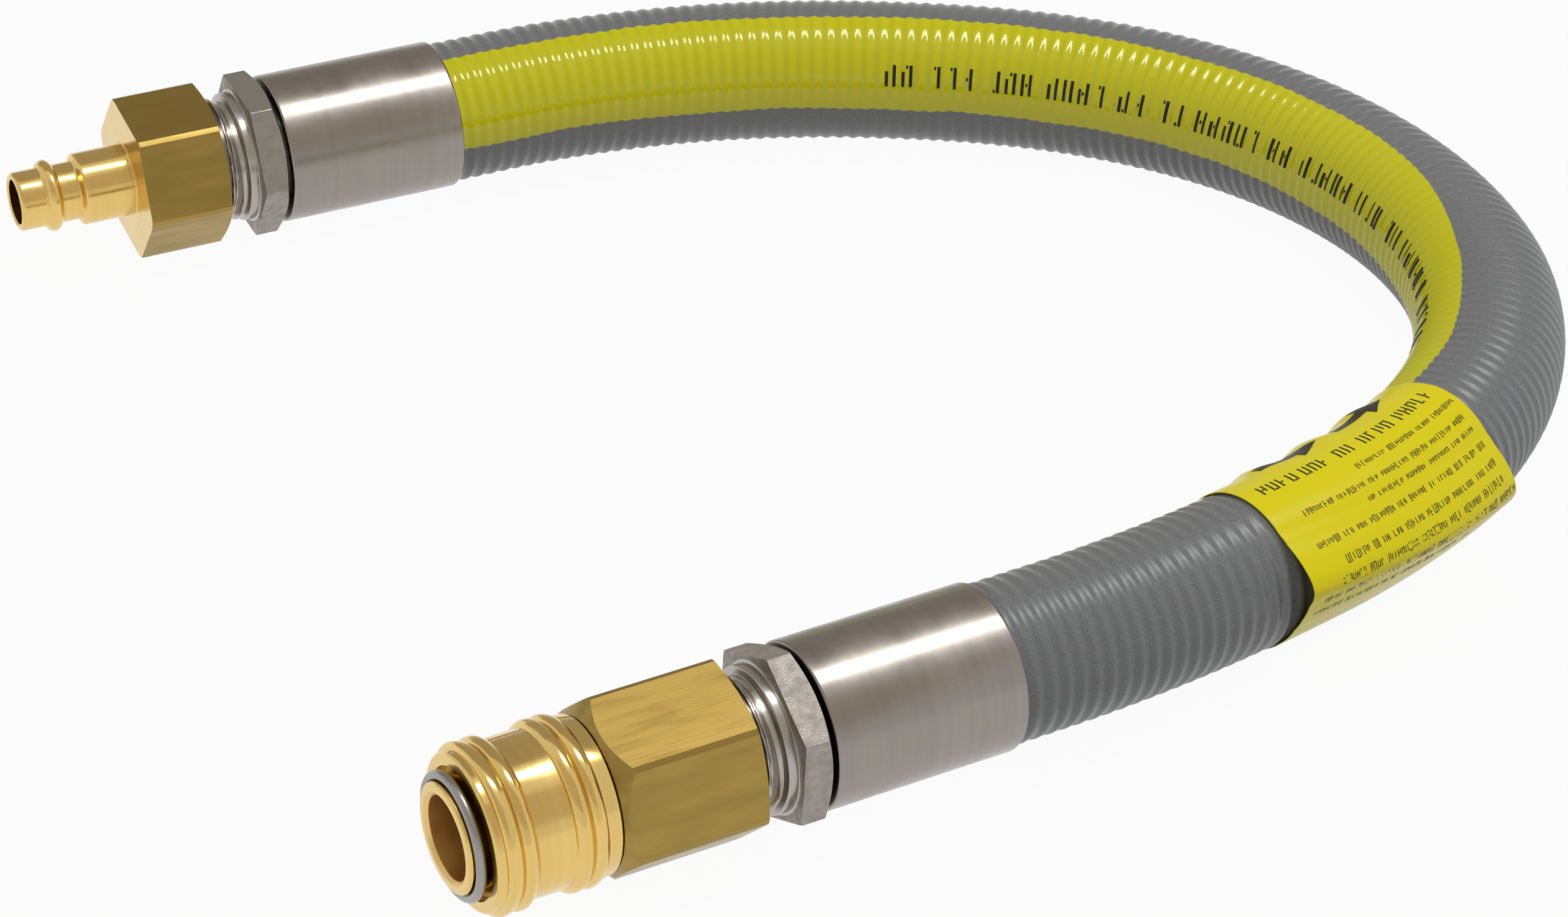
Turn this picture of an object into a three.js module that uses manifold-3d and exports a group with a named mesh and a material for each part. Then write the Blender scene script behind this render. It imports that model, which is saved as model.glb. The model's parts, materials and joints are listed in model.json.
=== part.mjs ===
// A short flexible gas hose, lying on a flat surface in a wide U.
// One end has a self-sealing quick coupler, the other end the plug that fits such a coupler.
// Millimetres, +Z up. The coupler's axis runs along +X, from its mouth to the hose.
// The origin is on the floor, midway between the two ends' fittings.

import * as THREE from 'three';
import { mergeVertices } from 'three/addons/utils/BufferGeometryUtils.js';
import Module from 'manifold-3d';

const wasm = await Module();
wasm.setup();

// Clearances
const FIT = 0.3; // between pieces that touch or slide on the real hose
const SPRING_FIT = 0.65; // round and inside a coil spring

// Hose
const HOSE_OUTER_R = 12;
const HOSE_BORE_R = 8;
const LINER_WALL = 1.2;
const LINER_FIT = 0.55; // covers the facets of two nested tubes
const CRIMP_DEPTH = 1; // how far a ferrule squeezes the cover
const HOSE_STRAIGHT = 5; // the hose leaves each ferrule straight for this far
const HOSE_SIDES = 12;
const HOSE_STEPS = 46;
const LINER_STEPS = 46;

// Label sheet wrapped round the hose
const LABEL_LENGTH = 49;
const LABEL_START = 45.4; // along the hose, from the coupler's ferrule
const LABEL_THICKNESS = 0.35;
const LABEL_FIT = 0.45;
const LABEL_EDGE_ANGLE = 66; // degrees below the horizontal, where both long edges end
const LABEL_CREASE_R = 15.9; // the loose fold stands this far from the hose's middle
const LABEL_CREASE_ANGLE = 12;

// Crimped ferrules
const FERRULE_LENGTH = 30.7;
const FERRULE_WALL = 1.25;
const FERRULE_COLLAR = 2;
const FERRULE_ROUNDING = 1.2;
const FERRULE_LIP_ROUNDING = 0.7;

// Hexagons, all for one spanner
const HEX_ACROSS_FLATS = 24;
const HEX_CORNER_R = HEX_ACROSS_FLATS / Math.sqrt(3);
const BRASS_CORNER_CUT = 0.26; // the brass bar's corners are turned down by this
const HEX_CHAMFER = 1.1;

// Steel nipples
const NIPPLE_BORE_R = 6;
const NIPPLE_HEX_LENGTH = 4.8;
const NIPPLE_COLLAR_R = 10.9;
const NIPPLE_COLLAR_LENGTH = 1.9;
const NIPPLE_GROOVE_R = 9.7;
const NIPPLE_GROOVE_LENGTH = 0.9;
const NIPPLE_THREAD_R = 10.2;
const NIPPLE_THREAD_LENGTH = 11;
const NIPPLE_THREAD_CHAMFER = 0.8;
const NIPPLE_NECK_R = 8.9;
const NIPPLE_NECK_GAP = 0.5; // between the hexagon and the ferrule
const NIPPLE_TAIL_LENGTH = 26;
const NIPPLE_TAIL_FIT = 0.5;
const BARB_COUNT = 4;
const BARB_DEPTH = 0.6;

// Coupler: the tube that the plug goes into, and the hexagon behind it
const MOUTH_R = 6.1;
const MOUTH_CHAMFER = 0.5;
const TUBE_R = 8.05;
const TUBE_LENGTH = 31;
const TUBE_LIP_ROUNDING = 0.7;
const CHAMBER_R = 7;
const CHAMBER_START = 21.2;
const BALL_R = 1.5;
const BALL_COUNT = 6;
const BALL_AT = 9.5;
const BALL_DROP = 1;
const BALL_GAP = 0.25;
const SLEEVE_TRAVEL = 2.4;

const RING_WIRE_R = 0.75;
const RING_BITE = 0.1;
const RING_AT = 1.35;

const SLEEVE_FRONT = 2.6;
const SLEEVE_LENGTH = 18.7;
const SLEEVE_R = 11.5;
const SLEEVE_EDGE = 0.35;
const SLEEVE_RIDGE_R = 12.4;
const SLEEVE_NOTCH_R = 11.85;
const SLEEVE_RECESS_R = 9.9;
const SLEEVE_CAVITY_R = 10.3;
const SLEEVE_SKIRT_LENGTH = 6.7;
const RIDGE_FIRST = 2.05; // first crest behind the front face
const RIDGE_PITCH = 2.85;
const RIDGE_REAR_FIRST = 13.1;
const RIDGE_REAR_PITCH = 2.1;
const RIDGE_FOOT = 1.35; // from a crest to the foot of its outer slope

const REAR_SPIGOT_R = 10;
const REAR_SPIGOT_LENGTH = 1.6;
const REAR_NOSE_R = 11.3;
const REAR_CONE_LENGTH = 2.2;
const REAR_WEB = 1.9;
const REAR_WEB_HOLE_R = 3.6;
const BODY_SEAL_THICKNESS = 1;
const COUPLER_THREAD_SHOWN = 2.7; // thread left between the hexagon and the nipple's groove
const COUPLER_THREAD_RUNOUT = 0.7; // the hole goes on past the nipple's end for this far

const SLEEVE_SPRING_WIRE_R = 0.5;
const SLEEVE_SPRING_TURNS = 3.25;
const VALVE_SPRING_WIRE_R = 0.4;
const VALVE_SPRING_TURNS = 3.5;
const VALVE_SPRING_R = 4.4;

// Coupler: the valve that the plug pushes in
const VALVE_STROKE = 6;
const VALVE_FRONT = 8;
const VALVE_FIT = 0.2;
const VALVE_POCKET_R = 5.15;
const VALVE_POCKET_DEPTH = 5.2;
const VALVE_BORE_R = 3.8;
const VALVE_BORE_END = 18.6;
const VALVE_PORT_R = 1.6;
const VALVE_PORT_COUNT = 4;
const VALVE_PORT_AT = 16.6;
const VALVE_FLANGE_R = 6.6;
const VALVE_FLANGE_LENGTH = 0.8;
const VALVE_FLANGE_AT = 22.1;
const VALVE_TAIL_R = 3.4;
const VALVE_TAIL_LENGTH = 1.2;
const SEAL_WIRE_R = 0.65;
const VALVE_SEAL_AT = 19.8;
const SEAL_GAP = 0.2;
const PLUG_SEAL_THICKNESS = 0.9;

// Plug adapter, one turned piece
const PLUG_TIP_R = 4.95;
const PLUG_TIP_CHAMFER = 0.4;
const PLUG_TIP_LENGTH = 4.4;
const PLUG_RIDGE_R = 6.05;
const PLUG_RIDGE_AT = 5.75;
const PLUG_RIDGE_HALF = 1.35;
const PLUG_GROOVE_R = 4.9;
const PLUG_GROOVE_END = 10.2;
const PLUG_SHANK_R = 6.05;
const PLUG_SHANK_CONE = 0.7;
const PLUG_SHANK_END = 19.45;
const PLUG_BORE_R = 3.8;
const PLUG_WEB = 4.5; // bore left solid behind the hexagon's face
const PLUG_THREAD_SHOWN = 2.65;
const PLUG_THREAD_RUNOUT = 1.65;

// Places of the two ends: each axis is level and points from its mouth or tip to the hose.
// Each end stands on the lowest corner of its hexagons.
const COUPLER_MOUTH = [-46.4, -97.5];
const COUPLER_HEADING = 0;
const PLUG_TIP = [-31.6, 98.5];
const PLUG_HEADING = -4.365; // degrees about +Z
const COUPLER_HEX_TURN = 43; // a corner's angle above the horizontal, on the -Y side
const COUPLER_NIPPLE_HEX_TURN = 25;
const PLUG_HEX_TURN = 51;
const PLUG_NIPPLE_HEX_TURN = 57;

// The hose's middle line between the ferrules, from the coupler's end, chosen by hand
const HOSE_ROUTE = [
  [56.7, -97, 13.6],
  [72.7, -95.4, 13.3],
  [88.6, -92.7, 12.9],
  [104.3, -89.1, 12.5],
  [119.6, -83.9, 12.2],
  [133.7, -76.5, 12],
  [146.7, -67, 12],
  [157.4, -55, 12],
  [165.2, -40.8, 12],
  [169.4, -25.2, 12],
  [170.4, -9, 12],
  [168.2, 7.1, 12],
  [163.2, 22.3, 12],
  [155.5, 36.5, 12],
  [145.6, 49.2, 12],
  [133.9, 60.2, 12],
  [120.8, 69.7, 12],
  [106.9, 77.7, 12.1],
  [92.1, 84, 12.3],
  [76.6, 88.3, 12.6],
  [60.8, 91.1, 12.8],
];

const ROUND_SIDES = 28;
const INNER_SIDES = 16;
const WIRE_SIDES = 6;
const COIL_STEPS = 12; // for each turn of a spring
const LABEL_STEPS = 10;
const CURVE_STEPS = 3;
const CUT_MARGIN = 1; // how far a cutting tool runs past what it cuts

// Sizes that follow from the ones above
const coverBoreR = HOSE_BORE_R + LINER_WALL + LINER_FIT;
const cuffR = HOSE_OUTER_R - CRIMP_DEPTH;
const ferruleBoreR = cuffR + FIT;
const ferruleR = ferruleBoreR + FERRULE_WALL;
const brassCornerR = HEX_CORNER_R - BRASS_CORNER_CUT;
const threadHoleR = NIPPLE_THREAD_R + FIT;
const tailR = HOSE_BORE_R - NIPPLE_TAIL_FIT;
const sleeveLandR = TUBE_R + FIT + 0.05;
const sleeveRear = SLEEVE_FRONT + SLEEVE_LENGTH;
const ballSlope = BALL_DROP / SLEEVE_TRAVEL;
const valveR = MOUTH_R - VALVE_FIT;
const ballR = valveR + BALL_R + BALL_GAP; // the balls' distance from the axis, sleeve back
const rearNose = sleeveRear + FIT;
const rearHexFront = rearNose + REAR_CONE_LENGTH;
const webFront = TUBE_LENGTH + BODY_SEAL_THICKNESS + 2 * FIT;
const webRear = webFront + REAR_WEB;
const threadInCoupler = NIPPLE_THREAD_LENGTH - COUPLER_THREAD_SHOWN;
const rearEnd = webRear + COUPLER_THREAD_RUNOUT + threadInCoupler;
const nippleFaceBehindThread = NIPPLE_GROOVE_LENGTH + NIPPLE_COLLAR_LENGTH;
const couplerNippleAt = rearEnd + COUPLER_THREAD_SHOWN + nippleFaceBehindThread;
const plugBoreEnd = PLUG_SHANK_END + PLUG_WEB;
const threadInPlug = NIPPLE_THREAD_LENGTH - PLUG_THREAD_SHOWN;
const plugHexEnd = plugBoreEnd + PLUG_THREAD_RUNOUT + threadInPlug;
const plugNippleAt = plugHexEnd + PLUG_THREAD_SHOWN + nippleFaceBehindThread;
const ferruleAt = NIPPLE_HEX_LENGTH + NIPPLE_NECK_GAP; // behind a nipple's hexagon face
const ferruleEnd = ferruleAt + FERRULE_LENGTH;
const hoseInside = ferruleAt + FERRULE_COLLAR + 0.5; // where the hose starts in a ferrule

const finish = (color, metalness, roughness) =>
  new THREE.MeshStandardMaterial({ color, metalness, roughness });

const polishedBrass = () => finish(0xd9b65c, 1, 0.18);
const barBrass = () => finish(0xb59a4c, 1, 0.38);
const turnedSteel = () => finish(0xa7a29b, 1, 0.34);
const springSteel = () => finish(0x9a9a9e, 1, 0.3);
const greyPvc = () => finish(0x7d8084, 0, 0.42);
const yellowFilm = () => finish(0xf2e512, 0, 0.4);
const blackRubber = () => finish(0x1d1d1f, 0, 0.7);

// A closed three.js geometry as a solid that can be joined and cut
function solid(geometry) {
  const bare = geometry.clone();
  bare.deleteAttribute('normal');
  bare.deleteAttribute('uv');
  const merged = mergeVertices(bare, 1e-4);
  return new wasm.Manifold(new wasm.Mesh({
    numProp: 3,
    vertProperties: new Float32Array(merged.attributes.position.array),
    triVerts: new Uint32Array(merged.index.array),
  }));
}

function geometryOf(manifold) {
  const mesh = manifold.getMesh();
  const geometry = new THREE.BufferGeometry();
  geometry.setAttribute('position', new THREE.BufferAttribute(mesh.vertProperties, 3));
  geometry.setIndex(new THREE.BufferAttribute(mesh.triVerts, 1));
  geometry.computeVertexNormals();
  return geometry;
}

// An outline drawn as (distance along the axis, radius), turned about +X.
// The outside is drawn towards +X and the inside back again.
function revolve(draw, sides = ROUND_SIDES) {
  const outline = new THREE.Path();
  draw(outline);
  const points = outline.getPoints(CURVE_STEPS).map((p) => new THREE.Vector2(Math.max(p.y, 0), p.x));
  points.push(points[0].clone());
  const geometry = new THREE.LatheGeometry(points, sides);
  geometry.rotateZ(-Math.PI / 2);
  return geometry;
}

// A plain cylinder or ring between two places on the axis
function tube(from, to, outerR, innerR = 0, sides = ROUND_SIDES) {
  return revolve((o) => {
    o.moveTo(from, innerR);
    o.lineTo(from, outerR);
    o.lineTo(to, outerR);
    o.lineTo(to, innerR);
  }, sides);
}

function torus(at, middleR, wireR, sides = INNER_SIDES) {
  return revolve((o) => {
    for (let i = 0; i <= 8; i++) {
      const turn = Math.PI - (i / 8) * 2 * Math.PI;
      const x = at + wireR * Math.cos(turn);
      const r = middleR + wireR * Math.sin(turn);
      if (i === 0) o.moveTo(x, r);
      else if (i < 8) o.lineTo(x, r);
    }
  }, sides);
}

// A hexagon bar along +X with its corners turned down to cornerR and both ends chamfered
function hexBar(from, to, turn, cornerR, frontChamfer, rearChamfer) {
  const shape = new THREE.Shape();
  for (let i = 0; i < 6; i++) {
    const angle = THREE.MathUtils.degToRad(turn + 60 * i);
    const x = -HEX_CORNER_R * Math.sin(angle);
    const y = -HEX_CORNER_R * Math.cos(angle);
    if (i === 0) shape.moveTo(x, y);
    else shape.lineTo(x, y);
  }
  shape.closePath();
  const bar = new THREE.ExtrudeGeometry(shape, { depth: to - from, bevelEnabled: false });
  bar.rotateY(Math.PI / 2);
  bar.translate(from, 0, 0);
  const flatR = HEX_ACROSS_FLATS / 2;
  const turned = revolve((o) => {
    o.moveTo(from - CUT_MARGIN, 0);
    o.lineTo(from - CUT_MARGIN, flatR - frontChamfer);
    o.lineTo(from, flatR - frontChamfer);
    o.lineTo(from + frontChamfer, cornerR);
    o.lineTo(to - rearChamfer, cornerR);
    o.lineTo(to, flatR - rearChamfer / 2);
    o.lineTo(to + CUT_MARGIN, flatR - rearChamfer / 2);
    o.lineTo(to + CUT_MARGIN, 0);
  });
  return solid(bar).intersect(solid(turned));
}

// A round wire wound about +X
class Helix extends THREE.Curve {
  constructor(from, to, radius, turns) {
    super();
    Object.assign(this, { from, to, radius, turns });
  }

  getPoint(t, target = new THREE.Vector3()) {
    const angle = 2 * Math.PI * this.turns * t;
    const x = THREE.MathUtils.lerp(this.from, this.to, t);
    return target.set(x, this.radius * Math.cos(angle), this.radius * Math.sin(angle));
  }
}

function roundShape(radius, sides) {
  const points = [];
  for (let i = 0; i < sides; i++) {
    const angle = (i / sides) * 2 * Math.PI;
    points.push(new THREE.Vector2(radius * Math.cos(angle), radius * Math.sin(angle)));
  }
  return new THREE.Shape(points);
}

function sweep(shape, path, steps) {
  return new THREE.ExtrudeGeometry(shape, { steps, extrudePath: path, bevelEnabled: false });
}

function coilSpring(from, to, radius, wireR, turns) {
  const path = new Helix(from + wireR, to - wireR, radius, turns);
  return sweep(roundShape(wireR, WIRE_SIDES), path, Math.round(turns * COIL_STEPS));
}

// Coupler pieces, each about +X with the mouth at 0

function couplerFrontBody() {
  const grooveR = TUBE_R - RING_BITE - FIT;
  const grooveHalf = RING_WIRE_R + 0.1;
  const outside = revolve((o) => {
    o.moveTo(0, MOUTH_R + MOUTH_CHAMFER);
    o.lineTo(0, TUBE_R - TUBE_LIP_ROUNDING);
    o.quadraticCurveTo(0, TUBE_R, RING_AT - grooveHalf, TUBE_R);
    o.lineTo(RING_AT - grooveHalf, grooveR);
    o.lineTo(RING_AT + grooveHalf, grooveR);
    o.lineTo(RING_AT + grooveHalf, TUBE_R);
    o.lineTo(TUBE_LENGTH, TUBE_R);
    o.lineTo(TUBE_LENGTH, CHAMBER_R);
    o.lineTo(CHAMBER_START + CHAMBER_R - MOUTH_R, CHAMBER_R);
    o.lineTo(CHAMBER_START, MOUTH_R);
    o.lineTo(MOUTH_CHAMFER, MOUTH_R);
  });
  let body = solid(outside);
  for (const place of around(BALL_COUNT)) {
    const pocket = new THREE.CylinderGeometry(BALL_R + FIT, BALL_R + FIT, TUBE_R, 12);
    pocket.translate(0, TUBE_R, 0);
    pocket.applyMatrix4(place);
    pocket.translate(BALL_AT, 0, 0);
    body = body.subtract(solid(pocket));
  }
  return geometryOf(body);
}

// Turns about +X that spread copies evenly round the axis, the first straight up
function around(count) {
  return Array.from({ length: count }, (_, i) =>
    new THREE.Matrix4().makeRotationX(Math.PI / 2 + (i / count) * 2 * Math.PI));
}

function retainingRing() {
  return torus(RING_AT, TUBE_R - RING_BITE + RING_WIRE_R, RING_WIRE_R, ROUND_SIDES);
}

// One turned ridge: a slope up, a rounded crest and a slope down
function ridge(outline, foot, crest, end, endR) {
  outline.lineTo(foot, outline.currentPoint.y);
  outline.quadraticCurveTo(foot + 0.35 * (crest - foot), SLEEVE_RIDGE_R, crest, SLEEVE_RIDGE_R);
  outline.quadraticCurveTo(crest + 0.45 * (end - crest), SLEEVE_RIDGE_R, end, endR);
}

function couplerSleeve() {
  const front = SLEEVE_FRONT;
  const first = front + RIDGE_FIRST;
  const rearFirst = front + RIDGE_REAR_FIRST;
  const second = first + RIDGE_PITCH;
  const rearSecond = rearFirst + RIDGE_REAR_PITCH;
  const recessEnd = RING_AT + RING_WIRE_R + SLEEVE_TRAVEL + FIT;
  const cavityFront = sleeveRear - SLEEVE_SKIRT_LENGTH;
  const ballConeR = ballR + (BALL_R + BALL_GAP) / Math.cos(Math.atan(ballSlope));
  const pocketFront = BALL_AT - BALL_R - 1;
  const pocketR = ballConeR + ballSlope * BALL_R;
  const coneEnd = BALL_AT + (ballConeR - sleeveLandR) / ballSlope;
  return revolve((o) => {
    o.moveTo(front, SLEEVE_RECESS_R);
    o.lineTo(front, SLEEVE_R - SLEEVE_EDGE);
    o.lineTo(front + SLEEVE_EDGE, SLEEVE_R);
    ridge(o, first - 0.8, first, first + RIDGE_PITCH - 1.1, SLEEVE_NOTCH_R);
    ridge(o, second - 1.1, second, second + RIDGE_FOOT, SLEEVE_R);
    ridge(o, rearFirst - RIDGE_FOOT, rearFirst, rearFirst + 1.1, SLEEVE_NOTCH_R);
    ridge(o, rearSecond - 0.9, rearSecond, rearSecond + RIDGE_FOOT, SLEEVE_NOTCH_R);
    o.lineTo(sleeveRear, SLEEVE_R);
    o.lineTo(sleeveRear, SLEEVE_CAVITY_R);
    o.lineTo(cavityFront, SLEEVE_CAVITY_R);
    o.lineTo(cavityFront, sleeveLandR);
    o.lineTo(coneEnd, sleeveLandR);
    o.lineTo(BALL_AT - BALL_R, pocketR);
    o.lineTo(pocketFront, pocketR);
    o.lineTo(pocketFront, sleeveLandR);
    o.lineTo(recessEnd, sleeveLandR);
    o.lineTo(recessEnd, SLEEVE_RECESS_R);
  });
}

function couplerRearBody() {
  const spigot = tube(rearNose - REAR_SPIGOT_LENGTH, rearHexFront, REAR_SPIGOT_R);
  const nose = revolve((o) => {
    o.moveTo(rearNose, 0);
    o.lineTo(rearNose, REAR_NOSE_R);
    o.lineTo(rearHexFront, brassCornerR);
    o.lineTo(rearHexFront + CUT_MARGIN, brassCornerR);
    o.lineTo(rearHexFront + CUT_MARGIN, 0);
  });
  const hex = hexBar(rearNose, rearEnd, COUPLER_HEX_TURN, brassCornerR, 0, HEX_CHAMFER / 2);
  const noseHex = solid(nose).intersect(hex);
  const bar = hexBar(rearHexFront, rearEnd, COUPLER_HEX_TURN, brassCornerR, 0, HEX_CHAMFER / 2);
  const bore = revolve((o) => {
    o.moveTo(rearNose - REAR_SPIGOT_LENGTH - CUT_MARGIN, 0);
    o.lineTo(rearNose - REAR_SPIGOT_LENGTH - CUT_MARGIN, TUBE_R + FIT);
    o.lineTo(webFront, TUBE_R + FIT);
    o.lineTo(webFront, REAR_WEB_HOLE_R);
    o.lineTo(webRear, REAR_WEB_HOLE_R);
    o.lineTo(webRear, threadHoleR);
    o.lineTo(rearEnd + CUT_MARGIN, threadHoleR);
    o.lineTo(rearEnd + CUT_MARGIN, 0);
  });
  return geometryOf(solid(spigot).add(noseHex).add(bar).subtract(solid(bore)));
}

function bodySeal() {
  return tube(TUBE_LENGTH + FIT, TUBE_LENGTH + FIT + BODY_SEAL_THICKNESS, TUBE_R, CHAMBER_R, INNER_SIDES);
}

function sleeveSpring() {
  const from = sleeveRear - SLEEVE_SKIRT_LENGTH + FIT;
  const to = rearNose - REAR_SPIGOT_LENGTH - FIT;
  return coilSpring(from, to, TUBE_R + SPRING_FIT + SLEEVE_SPRING_WIRE_R, SLEEVE_SPRING_WIRE_R,
    SLEEVE_SPRING_TURNS);
}

function valveSpring() {
  const from = VALVE_FLANGE_AT + VALVE_FLANGE_LENGTH + FIT;
  return coilSpring(from, webFront - FIT, VALVE_SPRING_R, VALVE_SPRING_WIRE_R, VALVE_SPRING_TURNS);
}

// The valve's nose is tapered, so that the balls clear it while they drop
function valvePlunger() {
  const noseR = valveR - ((BALL_AT - VALVE_FRONT) * BALL_DROP) / VALVE_STROKE;
  const grooveR = valveR - 2 * SEAL_WIRE_R - SEAL_GAP;
  const grooveHalf = SEAL_WIRE_R + SEAL_GAP;
  const flangeEnd = VALVE_FLANGE_AT + VALVE_FLANGE_LENGTH;
  const pocketEnd = VALVE_FRONT + VALVE_POCKET_DEPTH;
  const outside = revolve((o) => {
    o.moveTo(VALVE_FRONT, VALVE_POCKET_R);
    o.lineTo(VALVE_FRONT, noseR);
    o.lineTo(BALL_AT, valveR);
    o.lineTo(VALVE_SEAL_AT - grooveHalf, valveR);
    o.lineTo(VALVE_SEAL_AT - grooveHalf, grooveR);
    o.lineTo(VALVE_SEAL_AT + grooveHalf, grooveR);
    o.lineTo(VALVE_SEAL_AT + grooveHalf, valveR);
    o.lineTo(VALVE_FLANGE_AT, valveR);
    o.lineTo(VALVE_FLANGE_AT, VALVE_FLANGE_R);
    o.lineTo(flangeEnd, VALVE_FLANGE_R);
    o.lineTo(flangeEnd, VALVE_TAIL_R);
    o.lineTo(flangeEnd + VALVE_TAIL_LENGTH, VALVE_TAIL_R);
    o.lineTo(flangeEnd + VALVE_TAIL_LENGTH, 0);
    o.lineTo(VALVE_BORE_END, 0);
    o.lineTo(VALVE_BORE_END, VALVE_BORE_R);
    o.lineTo(pocketEnd, VALVE_BORE_R);
    o.lineTo(pocketEnd, VALVE_POCKET_R);
  }, INNER_SIDES);
  let plunger = solid(outside);
  for (const place of around(VALVE_PORT_COUNT)) {
    const port = new THREE.CylinderGeometry(VALVE_PORT_R, VALVE_PORT_R, valveR, 10);
    port.translate(0, valveR, 0);
    port.applyMatrix4(place);
    port.translate(VALVE_PORT_AT, 0, 0);
    plunger = plunger.subtract(solid(port));
  }
  return geometryOf(plunger);
}

function valveSeal() {
  return torus(VALVE_SEAL_AT, valveR - SEAL_WIRE_R, SEAL_WIRE_R);
}

function plugSeal() {
  const rear = VALVE_FRONT + VALVE_POCKET_DEPTH - FIT;
  return tube(rear - PLUG_SEAL_THICKNESS, rear, VALVE_POCKET_R - FIT, VALVE_BORE_R + SEAL_GAP, INNER_SIDES);
}

// Pieces of a hose end, about +X with the nipple's hexagon face at 0

function nipple(hexTurn) {
  const threadEnd = -nippleFaceBehindThread;
  const threadStart = threadEnd - NIPPLE_THREAD_LENGTH;
  const neckEnd = ferruleAt + FERRULE_COLLAR + FIT;
  const tailEnd = neckEnd + NIPPLE_TAIL_LENGTH;
  const turned = revolve((o) => {
    o.moveTo(threadStart, NIPPLE_BORE_R);
    o.lineTo(threadStart, NIPPLE_THREAD_R - NIPPLE_THREAD_CHAMFER);
    o.lineTo(threadStart + NIPPLE_THREAD_CHAMFER, NIPPLE_THREAD_R);
    o.lineTo(threadEnd, NIPPLE_THREAD_R);
    o.lineTo(threadEnd, NIPPLE_GROOVE_R);
    o.lineTo(threadEnd + NIPPLE_GROOVE_LENGTH, NIPPLE_GROOVE_R);
    o.lineTo(threadEnd + NIPPLE_GROOVE_LENGTH, NIPPLE_COLLAR_R);
    o.lineTo(CUT_MARGIN, NIPPLE_COLLAR_R);
    o.lineTo(CUT_MARGIN, NIPPLE_NECK_R);
    o.lineTo(neckEnd, NIPPLE_NECK_R);
    for (let i = 0; i < BARB_COUNT; i++) {
      o.lineTo(neckEnd + (i / BARB_COUNT) * NIPPLE_TAIL_LENGTH, tailR);
      o.lineTo(neckEnd + ((i + 1) / BARB_COUNT) * NIPPLE_TAIL_LENGTH, tailR - BARB_DEPTH);
    }
    o.lineTo(tailEnd, NIPPLE_BORE_R);
  });
  const hex = hexBar(0, NIPPLE_HEX_LENGTH, hexTurn, HEX_CORNER_R, 0, HEX_CHAMFER);
  const bore = tube(-CUT_MARGIN, NIPPLE_HEX_LENGTH + CUT_MARGIN, NIPPLE_BORE_R);
  return geometryOf(hex.subtract(solid(bore)).add(solid(turned)));
}

function ferrule() {
  const from = ferruleAt;
  const to = ferruleEnd;
  return revolve((o) => {
    o.moveTo(from, NIPPLE_NECK_R + FIT);
    o.lineTo(from, ferruleR - FERRULE_ROUNDING);
    o.quadraticCurveTo(from, ferruleR, from + FERRULE_ROUNDING, ferruleR);
    o.lineTo(to - FERRULE_LIP_ROUNDING, ferruleR);
    o.quadraticCurveTo(to, ferruleR, to, ferruleR - FERRULE_LIP_ROUNDING);
    o.lineTo(to, ferruleBoreR);
    o.lineTo(from + FERRULE_COLLAR, ferruleBoreR);
    o.lineTo(from + FERRULE_COLLAR, NIPPLE_NECK_R + FIT);
  });
}

function plugAdapter() {
  const ridgeFront = PLUG_RIDGE_AT - PLUG_RIDGE_HALF;
  const ridgeRear = PLUG_RIDGE_AT + PLUG_RIDGE_HALF;
  const turned = revolve((o) => {
    o.moveTo(0, 0);
    o.lineTo(0, PLUG_TIP_R - PLUG_TIP_CHAMFER);
    o.lineTo(PLUG_TIP_CHAMFER, PLUG_TIP_R);
    o.lineTo(Math.min(PLUG_TIP_LENGTH, ridgeFront), PLUG_TIP_R);
    o.quadraticCurveTo(ridgeFront + 0.6, PLUG_RIDGE_R, PLUG_RIDGE_AT, PLUG_RIDGE_R);
    o.quadraticCurveTo(ridgeRear - 0.6, PLUG_RIDGE_R, ridgeRear, PLUG_GROOVE_R);
    o.lineTo(PLUG_GROOVE_END, PLUG_GROOVE_R);
    o.lineTo(PLUG_GROOVE_END + PLUG_SHANK_CONE, PLUG_SHANK_R);
    o.lineTo(PLUG_SHANK_END + CUT_MARGIN, PLUG_SHANK_R);
    o.lineTo(PLUG_SHANK_END + CUT_MARGIN, 0);
  });
  const hex = hexBar(PLUG_SHANK_END, plugHexEnd, PLUG_HEX_TURN, brassCornerR, 0, HEX_CHAMFER / 2);
  const bore = revolve((o) => {
    o.moveTo(-CUT_MARGIN, 0);
    o.lineTo(-CUT_MARGIN, PLUG_BORE_R);
    o.lineTo(plugBoreEnd, PLUG_BORE_R);
    o.lineTo(plugBoreEnd, threadHoleR - 1);
    o.lineTo(plugBoreEnd + 1, threadHoleR);
    o.lineTo(plugHexEnd + CUT_MARGIN, threadHoleR);
    o.lineTo(plugHexEnd + CUT_MARGIN, 0);
  });
  return geometryOf(solid(turned).add(hex).subtract(solid(bore)));
}

// How far a hexagon reaches below its axis
function hexDepth(turn, cornerR) {
  let depth = 0;
  for (let i = 0; i < 6; i++) {
    depth = Math.max(depth, -cornerR * Math.sin(THREE.MathUtils.degToRad(turn + 60 * i)));
  }
  return depth;
}

// The height of an end's axis, so that its ferrule or a hexagon's corner is on the floor
function standingHeight(brassTurn, steelTurn) {
  const brass = hexDepth(brassTurn, brassCornerR);
  const steel = hexDepth(steelTurn, HEX_CORNER_R);
  return Math.max(ferruleR, brass, steel);
}

// The frame of one hose end: its axis along local +X, its mouth or tip at the local origin
function endFrame([x, y], height, heading) {
  const frame = new THREE.Group();
  frame.position.set(x, y, height);
  frame.rotation.z = THREE.MathUtils.degToRad(heading);
  frame.updateMatrix();
  return frame;
}

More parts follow.
